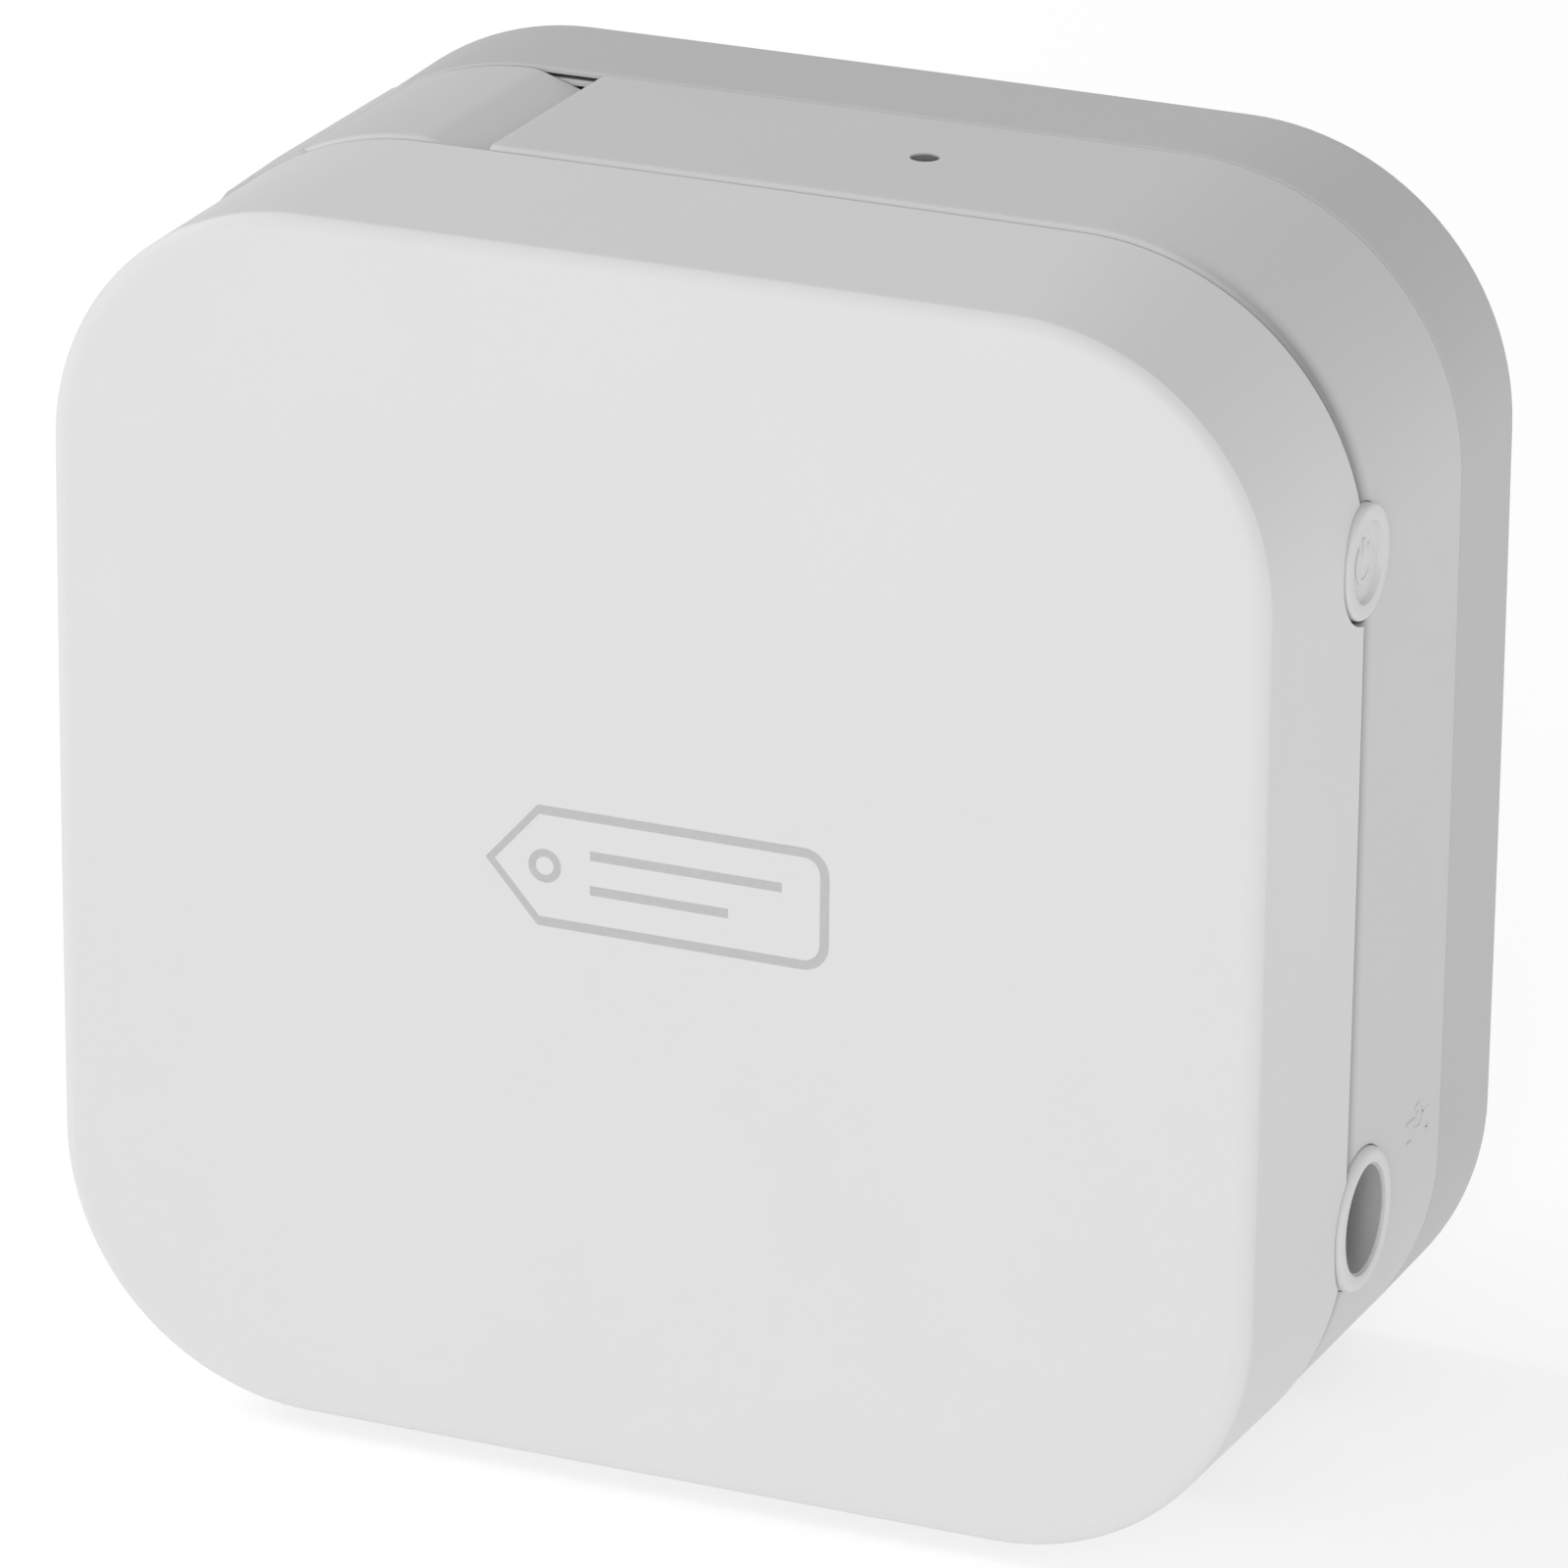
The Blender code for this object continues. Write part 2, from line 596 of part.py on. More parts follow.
def build_lever_spring():
    turns = 4
    steps = 8
    low = 43.8 + 0.35
    high = 52.6 - 0.35
    count = int(turns * steps)
    curve = bpy.data.curves.new("lever_spring", "CURVE")
    curve.dimensions = "3D"
    curve.bevel_depth = 0.35 * MM
    curve.bevel_resolution = 1
    curve.use_fill_caps = True
    spline = curve.splines.new("POLY")
    spline.points.add(count)
    for i, point in enumerate(spline.points):
        angle = 2 * math.pi * i / steps
        place_at = Vector((2.1 * math.cos(angle), 2.1 * math.sin(angle), low + (high - low) * i / count))
        point.co = (*(place_at * MM), 1)
    spring = bpy.data.objects.new("lever_spring", curve)
    spring.location = Vector((-40, TAPE_CENTRE_Y, HALF)) * MM
    bpy.context.collection.objects.link(spring)
    curve.materials.append(steel())


def build_cutter():
    low_y = TAPE_CENTRE_Y - TAPE_WIDTH / 2 - 0.9
    high_y = TAPE_CENTRE_Y + TAPE_WIDTH / 2 + 0.9
    carrier = [(-22.0, 51.4), (-16.2, 51.4), (-16.2, 54.6), (-17.5, 54.6), (-17.5, 52.5), (-22.0, 52.5)]
    place("blade_carrier", prism(carrier, low_y, high_y), frame_plastic())
    blade = [(-15.9, 52.9), (-15.5, 52.5), (-15.5, 54.6), (-15.9, 54.6)]
    place("cutter_blade", prism(blade, low_y + 0.3, high_y - 0.3), steel())
    knife = [(-15.2, 45.0), (-14.6, 45.0), (-14.6, 51.2), (-15.2, 51.6)]
    place("fixed_knife", prism(knife, low_y + 0.3, high_y - 0.3), steel())


# --- drive train ----------------------------------------------------------------------------

def meshed(first, first_teeth, teeth, direction):
    """Axis and phase of a gear that meshes with the first one, in this direction from it, in degrees."""
    beta = math.radians(direction)
    distance = MODULE * (first_teeth + teeth) / 2 + GEAR_SLACK
    x = first[0] + distance * math.cos(beta)
    z = first[1] + distance * math.sin(beta)
    phase = beta + math.pi - first_teeth / teeth * (first[2] - beta) - math.pi / teeth
    return (x, z, phase)


def gear_places():
    drive = (*DRIVE_AXIS, 0.0)
    idler = meshed(drive, DRIVE_TEETH, IDLER_TEETH, 35.0)
    return {
        "drive_gear": drive,
        "idler_gear": idler,
        "motor_pinion": meshed(drive, DRIVE_TEETH, PINION_TEETH, -125.0),
        "platen_gear": meshed(idler, IDLER_TEETH, PLATEN_TEETH, 35.0),
        "ribbon_spindle": meshed(idler, IDLER_TEETH, SPINDLE_TEETH, -30.0),
    }


def gear(name, teeth, at, bore=None, shaft=None):
    x, z, phase = at
    outline = [(x + px, z + pz) for px, pz in gear_outline(teeth, phase)]
    wheel = place(name, prism(outline, GEAR_FRONT, GEAR_REAR), gear_plastic(), (x, 0, z))
    if bore:
        cut_from(wheel, "bore", rod(GEAR_FRONT - 1, GEAR_REAR + 1, bore, (x, 0, z), Y_AXIS, 16))
    if shaft:
        radius, end = shaft
        add_to(wheel, "shaft", rod(GEAR_REAR - 1, end, radius, (x, 0, z), Y_AXIS, 16))
    return wheel


def build_drive_train(gears):
    gear("drive_gear", DRIVE_TEETH, gears["drive_gear"], bore=1.5)
    gear("idler_gear", IDLER_TEETH, gears["idler_gear"], bore=1.5)
    gear("platen_gear", PLATEN_TEETH, gears["platen_gear"], bore=1.2)
    gear("motor_pinion", PINION_TEETH, gears["motor_pinion"], shaft=(1.0, -4.6))
    gear("ribbon_spindle", SPINDLE_TEETH, gears["ribbon_spindle"], shaft=(1.9, 8.5))
    x, z = gears["motor_pinion"][:2]
    can = [(-4.2, 0), (-4.2, 7.4), (-3.8, 7.8), (19, 7.8), (19.5, 7.3), (19.5, 2.5), (20.5, 2.5), (20.5, 0)]
    place("feed_motor", turned(can, (x, 0, z), Y_AXIS, 24), steel())
    x, z = gears["platen_gear"][:2]
    roller = [(-10.6, 0), (-10.6, 0.9), (-3.4, 0.9), (-3.4, 3.2), (9.4, 3.2), (9.4, 0.9), (10.4, 0.9), (10.4, 0)]
    place("platen_roller", turned(roller, (x, 0, z), Y_AXIS, 24), material("rubber", (0.02, 0.02, 0.02), 0.7),
          (x, 0, z))


def build_print_head():
    pivot = (HEAD_PIVOT[0], 0, HEAD_PIVOT[1])
    low_y = TAPE_CENTRE_Y - 6.2
    high_y = TAPE_CENTRE_Y + 6.2
    arm = place("head_arm", block((-5, low_y, 53.2), (25.6, high_y, 54.4)), steel(), pivot)
    add_to(arm, "barrel", rod(low_y, high_y, 1.2, pivot, Y_AXIS, 12))
    cut_from(arm, "pin_hole", rod(low_y - 1, high_y + 1, HEAD_PIN_RADIUS + GAP, pivot, Y_AXIS, 16))
    head = block((-2, low_y, 52.35), (6, high_y, 52.9))
    place("print_head", head, material("ceramic", (0.75, 0.72, 0.65), 0.3))
    place("head_pivot_pin", rod(-6.2, 11.8, HEAD_PIN_RADIUS, pivot, Y_AXIS, 12), steel())


# --- cassette -------------------------------------------------------------------------------

def cassette_outline(inset=0.0):
    """Seen from behind: a slab with one cut corner and a pocket in its top for the roller."""
    left, right = CASSETTE_LEFT + inset, CASSETTE_RIGHT - inset
    low, high = CASSETTE_LOW + inset, CASSETTE_HIGH - inset
    pocket_left, pocket_right, pocket_floor = POCKET
    cut = 11.0
    return [(left, low), (right, low), (right, high - cut), (right - cut, high), (pocket_right + inset, high),
            (pocket_right + inset, pocket_floor - inset), (pocket_left - inset, pocket_floor - inset),
            (pocket_left - inset, high), (left, high)]


def build_cassette(gears):
    look = material("cassette_plastic", (0.10, 0.10, 0.11), 0.45)
    floor = CASSETTE_FRONT + CASSETTE_WALL
    tray = place("cassette_tray", prism(cassette_outline(), CASSETTE_FRONT, CASSETTE_SPLIT), look)
    cut_from(tray, "inside", prism(cassette_outline(CASSETTE_WALL), floor, CASSETTE_SPLIT + 1))
    x, z = gears["ribbon_spindle"][:2]
    spindle = (x, 0, z)
    cut_from(tray, "spindle_hole", rod(CASSETTE_FRONT - 1, floor + 1, 3.0, spindle, Y_AXIS, 20))
    lid = place("cassette_lid", prism(cassette_outline(), CASSETTE_SPLIT + GAP, CASSETTE_REAR), look)
    window = [(20, 10), (42, 10), (42, 30), (20, 30)]
    cut_from(lid, "window", prism(window, CASSETTE_SPLIT - 1, CASSETTE_REAR + 1))
    paper = material("tape_white", (0.85, 0.85, 0.83), 0.5)
    ribbon = material("ribbon_black", (0.02, 0.02, 0.02), 0.3)
    low_y = floor + 0.5
    high_y = CASSETTE_SPLIT - 0.4
    x, z = TAPE_ROLL_PLACE
    place("tape_roll", tube(low_y, high_y, 4.0, 15.5, (x, 0, z), Y_AXIS, 24), paper)
    x, z = RIBBON_ROLL_PLACE
    place("ribbon_roll", tube(low_y, high_y, 3.0, 7.5, (x, 0, z), Y_AXIS, 24), ribbon)
    place("takeup_core", tube(low_y, high_y, 2.2, 5.0, spindle, Y_AXIS, 24), ribbon, spindle)
    tape_low = TAPE_CENTRE_Y - TAPE_WIDTH / 2
    tape = block((-15.2, tape_low, TAPE_Z), (9, tape_low + TAPE_WIDTH, TAPE_Z + TAPE_THICKNESS))
    place("label_tape", tape, paper)


# --- cells ----------------------------------------------------------------------------------

def cell_x(index):
    return CELL_PITCH * (index - (CELL_COUNT - 1) / 2)


def build_cells():
    nub = 1.0
    for index in range(CELL_COUNT):
        upright = index % 2 == 0
        profile = [(0, 0), (0, 4.7), (0.4, CELL_RADIUS), (CELL_LENGTH - nub - 0.4, CELL_RADIUS),
                   (CELL_LENGTH - nub, 4.7), (CELL_LENGTH - nub, 1.9), (CELL_LENGTH, 1.9), (CELL_LENGTH, 0)]
        if not upright:
            profile = [(CELL_LENGTH - along, radius) for along, radius in profile]
        centre = (cell_x(index), CELL_Y, CELL_LOW_Z)
        place("battery_%d" % (index + 1), turned(profile, centre, Z_AXIS, 16),
              material("cell_sleeve", (0.35, 0.36, 0.38), 0.3, 0.6))


def contact(number, cells, plate_z, towards):
    """One plate behind one or two cells. A spring cone meets a flat end, and a boss meets a nub."""
    left = cell_x(cells[0]) - 4.3
    right = cell_x(cells[-1]) + 4.3
    plate = block((left, CELL_Y - 3.8, plate_z - 0.25), (right, CELL_Y + 3.8, plate_z + 0.25))
    obj = place("battery_contact_%d" % number, plate, steel())
    seats = []
    for index in cells:
        nub_here = (index % 2 == 0) == (towards < 0)
        centre = (cell_x(index), CELL_Y, plate_z)
        if nub_here:
            profile = [(-0.1, 0), (-0.1, 2.6), (1.5, 2.2), (1.5, 0)]
        else:
            profile = [(-0.1, 0), (-0.1, 3.5), (1.7, 1.9), (1.7, 0)]
        axis_profile = [(along * towards, radius) for along, radius in profile]
        seats.append(turned(axis_profile, centre, Z_AXIS, 10))
    add_to(obj, "seats", *seats)


def build_contacts():
    high = CELL_HIGH_Z + 2.3
    low = CELL_LOW_Z - 2.3
    number = 1
    for first in range(0, CELL_COUNT, 2):
        contact(number, (first, first + 1), high, -1)
        number += 1
    for cells in ((0,), (1, 2), (3, 4), (5,)):
        contact(number, cells, low, 1)
        number += 1


def build():
    for obj in list(bpy.data.objects):
        bpy.data.objects.remove(obj, do_unlink=True)
    gears = gear_places()
    build_front_shell()
    build_center_frame(gears)
    build_back_cover()
    build_case_screws()
    build_power_button()
    build_dc_jack()
    build_electronics()
    build_cutter_lever()
    build_lever_spring()
    build_cutter()
    build_drive_train(gears)
    build_print_head()
    build_cassette(gears)
    build_cells()
    build_contacts()


build()
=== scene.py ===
"""Outside and finishes of a rounded-square label maker, made round its loaded frame.

Every outer shell is made here as a fine solid: an outline of the case is swept through a short
profile. Sizes are millimetres from the middle of the case until finish_piece() places them.
"""

import math

import bmesh
import bpy
from mathutils import Matrix, Vector


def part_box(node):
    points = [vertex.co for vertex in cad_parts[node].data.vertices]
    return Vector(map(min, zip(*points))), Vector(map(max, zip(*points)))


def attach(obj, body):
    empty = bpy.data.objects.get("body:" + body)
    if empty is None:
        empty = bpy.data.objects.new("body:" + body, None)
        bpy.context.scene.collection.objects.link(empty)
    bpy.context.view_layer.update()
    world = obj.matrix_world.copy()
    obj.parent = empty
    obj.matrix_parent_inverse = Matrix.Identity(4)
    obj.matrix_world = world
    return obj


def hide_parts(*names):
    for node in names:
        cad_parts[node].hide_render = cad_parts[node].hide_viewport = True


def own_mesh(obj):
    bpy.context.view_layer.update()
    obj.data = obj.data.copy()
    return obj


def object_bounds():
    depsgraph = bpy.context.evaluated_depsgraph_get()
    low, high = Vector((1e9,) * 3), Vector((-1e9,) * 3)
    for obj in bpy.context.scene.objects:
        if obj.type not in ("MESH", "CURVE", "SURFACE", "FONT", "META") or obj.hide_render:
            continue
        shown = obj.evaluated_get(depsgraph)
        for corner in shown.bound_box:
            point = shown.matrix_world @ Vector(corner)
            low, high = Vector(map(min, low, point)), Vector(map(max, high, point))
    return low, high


bl_info = {
    "name": "Label Maker Case",
    "version": (1, 0, 0),
    "blender": (4, 5, 0),
    "location": "View3D > Sidebar > Label Maker",
    "description": "Builds the case, controls, finishes and stage of a desktop label maker",
    "category": "Object",
}

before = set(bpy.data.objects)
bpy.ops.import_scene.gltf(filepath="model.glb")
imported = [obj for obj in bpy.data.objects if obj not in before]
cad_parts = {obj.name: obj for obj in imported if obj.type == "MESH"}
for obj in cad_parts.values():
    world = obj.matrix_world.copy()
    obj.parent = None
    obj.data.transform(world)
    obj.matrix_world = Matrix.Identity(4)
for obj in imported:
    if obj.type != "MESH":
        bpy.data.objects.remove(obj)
CAD_LOW, CAD_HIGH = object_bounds()

MM = 0.001
CENTRE = (CAD_LOW + CAD_HIGH) / 2
X_AXIS = Vector((1, 0, 0))
Y_AXIS = Vector((0, 1, 0))
Z_AXIS = Vector((0, 0, 1))


def frame_box(node):
    """A frame piece's lowest and highest corner, in millimetres from the middle of the case."""
    low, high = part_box(node)
    return (Vector(low) - CENTRE) / MM, (Vector(high) - CENTRE) / MM


SHELL_LOW = frame_box("front_shell")[0]
COVER_HIGH = frame_box("back_cover")[1]
LEVER_HIGH = frame_box("cutter_lever")[1]
BUTTON_LOW, BUTTON_HIGH = frame_box("power_button")
COLLAR_LOW, COLLAR_HIGH = frame_box("dc_jack_collar")
LENS_LOW, LENS_HIGH = frame_box("status_light_lens")

HALF = (CAD_HIGH.x - CAD_LOW.x) / 2 / MM
BUTTON_Y = (BUTTON_LOW.y + BUTTON_HIGH.y) / 2
BUTTON_Z = (BUTTON_LOW.z + BUTTON_HIGH.z) / 2
JACK_Y = (COLLAR_LOW.y + COLLAR_HIGH.y) / 2
JACK_Z = (COLLAR_LOW.z + COLLAR_HIGH.z) / 2
COLLAR_RADIUS = (COLLAR_HIGH.y - COLLAR_LOW.y) / 2
LIGHT_X = (LENS_LOW.x + LENS_HIGH.x) / 2
LIGHT_Y = (LENS_LOW.y + LENS_HIGH.y) / 2 + 0.6
LIGHT_RADIUS = 1.32
LIGHT_BORE_EDGE = 0.2


# --- settings ---

class CaseSizes(bpy.types.PropertyGroup):
    """Sizes of the case's outer shape."""

    corner_radius: bpy.props.FloatProperty(
        name="Corner radius", description="Radius of the four corners at the seams",
        default=26.1 * MM, unit="LENGTH")
    front_corner_radius: bpy.props.FloatProperty(
        name="Front corner radius", description="Radius of the corners at the front face",
        default=23.8 * MM, unit="LENGTH")
    side_bow: bpy.props.FloatProperty(
        name="Side bow", description="How far the middle of a side stands out",
        default=0.08 * MM, unit="LENGTH")
    front_fillet: bpy.props.FloatProperty(
        name="Front fillet", description="Radius round the front face",
        default=2.0 * MM, unit="LENGTH")
    back_fillet: bpy.props.FloatProperty(
        name="Back fillet", description="Radius round the back face",
        default=3.0 * MM, unit="LENGTH")
    side_recess: bpy.props.FloatProperty(
        name="Band recess", description="How far the band lies below the shell at the sides",
        default=0.45 * MM, unit="LENGTH")
    strip_edge: bpy.props.FloatProperty(
        name="Strip edge", description="Left end of the strip, across from the middle",
        default=-24.6 * MM, unit="LENGTH")
    button_radius: bpy.props.FloatProperty(
        name="Button radius", description="Radius of the power button",
        default=5.1 * MM, unit="LENGTH")
    corner_steps: bpy.props.IntProperty(
        name="Corner steps", description="Straight pieces in each corner", default=28)


class CaseColours(bpy.types.PropertyGroup):
    """Base colours of the plastics and the print."""

    shell: bpy.props.FloatVectorProperty(
        name="Shell", description="Front shell and button", subtype="COLOR", default=(0.64, 0.64, 0.64))
    # Band: the shell's white, painted darker as the shade its surfaces take.
    band: bpy.props.FloatVectorProperty(
        name="Band", description="Band and strip", subtype="COLOR", default=(0.568, 0.568, 0.568))
    # Cover: the shell's white again, painted darker still as shade on its backward-turned faces.
    cover: bpy.props.FloatVectorProperty(
        name="Cover", description="Back cover", subtype="COLOR", default=(0.48, 0.48, 0.48))
    print_ink: bpy.props.FloatVectorProperty(
        name="Print", description="Sign on the front", subtype="COLOR", default=(0.44, 0.44, 0.44))


def size_of(name):
    """One of the case's lengths, in millimetres."""
    return getattr(bpy.context.scene.label_maker_sizes, name) / MM


def colours():
    return bpy.context.scene.label_maker_colours


# --- shader maths ---

class Signal:
    """An output socket that adds the node it needs when Python does sums with it."""

    def __init__(self, shader, socket):
        self.shader = shader
        self.socket = socket

    def maths(self, operation, *values):
        return self.shader.node("ShaderNodeMath", {"operation": operation}, dict(enumerate(values)))

    def __add__(self, other):
        return self.maths("ADD", self, other)

    def __radd__(self, other):
        return self.maths("ADD", other, self)

    def __sub__(self, other):
        return self.maths("SUBTRACT", self, other)

    def __rsub__(self, other):
        return self.maths("SUBTRACT", other, self)

    def __mul__(self, other):
        return self.maths("MULTIPLY", self, other)

    def __rmul__(self, other):
        return self.maths("MULTIPLY", other, self)

    def __gt__(self, other):
        return self.maths("GREATER_THAN", self, other)

    def __lt__(self, other):
        return self.maths("LESS_THAN", self, other)

    def between(self, low, high):
        """0 at low, 1 at high, and straight in between."""
        return self.shader.node("ShaderNodeMapRange", {"clamp": True},
                                {"Value": self, "From Min": low, "From Max": high})


class Finish:
    """One procedural material, built node by node."""

    def __init__(self, name, colour, roughness, metallic=0.0):
        self.material = bpy.data.materials.new(name)
        self.material.use_nodes = True
        self.tree = self.material.node_tree
        self.principled = self.tree.nodes["Principled BSDF"]
        self.set("Base Color", (*colour, 1))
        self.set("Roughness", roughness)
        self.set("Metallic", metallic)
        self.place = self.node("ShaderNodeTexCoord", out="Object")

    def node(self, kind, settings=None, inputs=None, out=0):
        made = self.tree.nodes.new(kind)
        for key, value in (settings or {}).items():
            setattr(made, key, value)
        for key, value in (inputs or {}).items():
            if isinstance(value, Signal):
                self.tree.links.new(value.socket, made.inputs[key])
            else:
                made.inputs[key].default_value = value
        return Signal(self, made.outputs[out])

    def set(self, key, value):
        if isinstance(value, Signal):
            self.tree.links.new(value.socket, self.principled.inputs[key])
        else:
            self.principled.inputs[key].default_value = value

    def noise(self, scale, detail=2.0, roughness=0.5, where=None):
        return self.node("ShaderNodeTexNoise", {}, {"Vector": where or self.place, "Scale": scale,
                                                    "Detail": detail, "Roughness": roughness})

    def stretched(self, scale):
        """Object coordinates scaled apart, for grain that runs one way."""
        return self.node("ShaderNodeMapping", {}, {"Vector": self.place, "Scale": scale})

    def axis(self, letter):
        return self.node("ShaderNodeSeparateXYZ", {}, {"Vector": self.place}, out=letter)

    def mix(self, factor, first, second):
        """A colour between two, by a signal."""
        values = [value if isinstance(value, Signal) else (*value, 1) for value in (first, second)]
        return self.node("ShaderNodeMix", {"data_type": "RGBA"},
                         {0: factor, 6: values[0], 7: values[1]}, out=2)

    def bump(self, height, depth, strength=1.0):
        inputs = {"Height": height, "Distance": depth, "Strength": strength}
        self.set("Normal", self.node("ShaderNodeBump", {}, inputs))


def tinted(colour, factor):
    return tuple(min(1.0, part * factor) for part in colour)


FINISHES = {}


def finish(name):
    """The named material, made the first time it is asked for."""
    if name not in FINISHES:
        FINISHES[name] = MAKERS[name]()
    return FINISHES[name]


def moulded_plastic(name, colour, roughness=0.5, grain=0.00003, painted_seam_shade=False):
    """Satin injection-moulded plastic: fine spark-eroded grain and the faintest cloudiness.

    When asked for, a painted shadow darkens the base colour to half just behind the front shell's step, on
    the right side, fading out over 2.5 mm.
    """
    made = Finish(name, colour, roughness)
    cloud = made.noise(55, 3)
    grains = made.noise(2600, 2, 0.6)
    body = made.mix(cloud, tinted(colour, 0.985), tinted(colour, 1.015))
    if painted_seam_shade:
        # Painted shadow: darker close behind the front seam, fading back over 2.5 mm, on the right flank
        # only.
        near = 1 - made.axis("Y").between((FRONT_SEAM + 0.9) * MM, (FRONT_SEAM + 3.4) * MM)
        shaded_flank = made.axis("X").between(0.66 * HALF * MM, 0.9 * HALF * MM)
        body = made.mix(near * near * shaded_flank, body, tinted(colour, 0.5))
    made.set("Base Color", body)
    made.set("Roughness", roughness - 0.06 + grains * 0.12)
    made.set("IOR", 1.49)
    made.bump(grains + 0.4 * made.noise(900, 2), grain, 0.35)
    return made.material


def brushed_metal(name, colour, roughness=0.32):
    """Drawn or rolled metal with lines one way and small stains."""
    made = Finish(name, colour, roughness, 1.0)
    lines = made.noise(1, 3, 0.6, made.stretched((300, 300, 6000)))
    stain = made.noise(180, 3)
    made.set("Base Color", made.mix(stain, tinted(colour, 0.86), tinted(colour, 1.08)))
    made.set("Roughness", roughness - 0.08 + lines * 0.2)
    made.bump(lines, 0.00001, 0.4)
    return made.material


def rubber():
    made = Finish("ground_rubber", (0.025, 0.025, 0.026), 0.72)
    grind = made.noise(1, 3, 0.7, made.stretched((4000, 500, 4000)))
    made.set("Base Color", made.mix(grind, (0.018, 0.018, 0.019), (0.045, 0.045, 0.046)))
    made.set("Roughness", 0.6 + grind * 0.25)
    made.bump(grind, 0.00003, 0.5)
    return made.material


def circuit_board():
    """Green mask over copper runs on a 1.27 mm grid, with bright round pads."""
    made = Finish("circuit_board", (0.03, 0.2, 0.09), 0.35)
    cells = made.node("ShaderNodeTexVoronoi", {"distance": "CHEBYCHEV"},
                      {"Vector": made.place, "Scale": 260.0})
    pads = made.node("ShaderNodeTexVoronoi", {},
                     {"Vector": made.place, "Scale": 240.0, "Randomness": 0.35})
    runs = cells.between(0.30, 0.34)
    dots = pads < 0.13
    green = made.mix(runs, (0.018, 0.17, 0.07), (0.035, 0.26, 0.11))
    made.set("Base Color", made.mix(dots, green, (0.66, 0.60, 0.42)))
    made.set("Metallic", dots * 0.9)
    made.set("Roughness", 0.42 - dots * 0.14)
    made.bump(runs, 0.00002, 0.6)
    return made.material


def laminated_tape():
    """White tape on its roll: the edges of the turns show as fine rings."""
    made = Finish("laminated_tape", (0.84, 0.84, 0.82), 0.4)
    turns = made.noise(1, 2, 0.6, made.stretched((2400, 60, 2400)))
    made.set("Base Color", made.mix(turns.between(0.4, 0.65), (0.74, 0.74, 0.72), (0.88, 0.88, 0.86)))
    made.set("Roughness", 0.35 + turns * 0.2)
    made.bump(turns, 0.00002, 0.4)
    return made.material


def ink_ribbon():
    made = Finish("ink_ribbon", (0.02, 0.02, 0.022), 0.25)
    turns = made.noise(1, 2, 0.6, made.stretched((3000, 80, 3000)))
    made.set("Base Color", made.mix(turns, (0.01, 0.01, 0.012), (0.05, 0.05, 0.055)))
    made.set("Roughness", 0.2 + turns * 0.2)
    return made.material


def cell_sleeve():
    """A plain printed sleeve: dark body, one copper-coloured end and a thin pale line between."""
    made = Finish("cell_sleeve", (0.12, 0.13, 0.15), 0.28, 0.3)
    height = made.axis("Z")
    ring_low, ring_high = 0.0370, 0.0378
    ring = (height > ring_low) * (height < ring_high)
    top = height > ring_high
    scuff = made.noise(420, 4, 0.7)
    body = made.mix(scuff, (0.10, 0.11, 0.13), (0.15, 0.16, 0.18))
    made.set("Base Color", made.mix(ring, made.mix(top, body, (0.62, 0.36, 0.20)), (0.8, 0.8, 0.78)))
    made.set("Roughness", 0.22 + scuff * 0.2)
    made.set("Metallic", 0.25 + top * 0.5)
    return made.material


def acetal():
    return moulded_plastic("natural_acetal", (0.82, 0.79, 0.70), 0.38, 0.00001)


def smoked_lens():
    """A small dark window with a soft moulded haze."""
    made = Finish("smoked_lens", (0.012, 0.013, 0.013), 0.5)
    haze = made.noise(1500, 2)
    made.set("Base Color", made.mix(haze, (0.02, 0.023, 0.023), (0.04, 0.043, 0.043)))
    made.set("Roughness", 0.25 + haze * 0.1)
    made.set("Specular IOR Level", 0.25)
    return made.material


def print_ink():
    """Pad-printed ink, a little uneven where the plastic's grain shows through."""
    colour = tuple(colours().print_ink)
    made = Finish("print_ink", colour, 0.45)
    speck = made.noise(2600, 2, 0.6)
    made.set("Base Color", made.mix(speck, tinted(colour, 0.94), tinted(colour, 1.07)))
    made.set("Roughness", 0.38 + speck * 0.16)
    made.bump(speck, 0.00002, 0.3)
    return made.material


def glazed_ceramic():
    made = Finish("glazed_ceramic", (0.78, 0.75, 0.68), 0.2)
    fleck = made.noise(800, 3)
    made.set("Base Color", made.mix(fleck, (0.72, 0.69, 0.62), (0.82, 0.79, 0.72)))
    made.set("Coat Weight", 0.6)
    return made.material


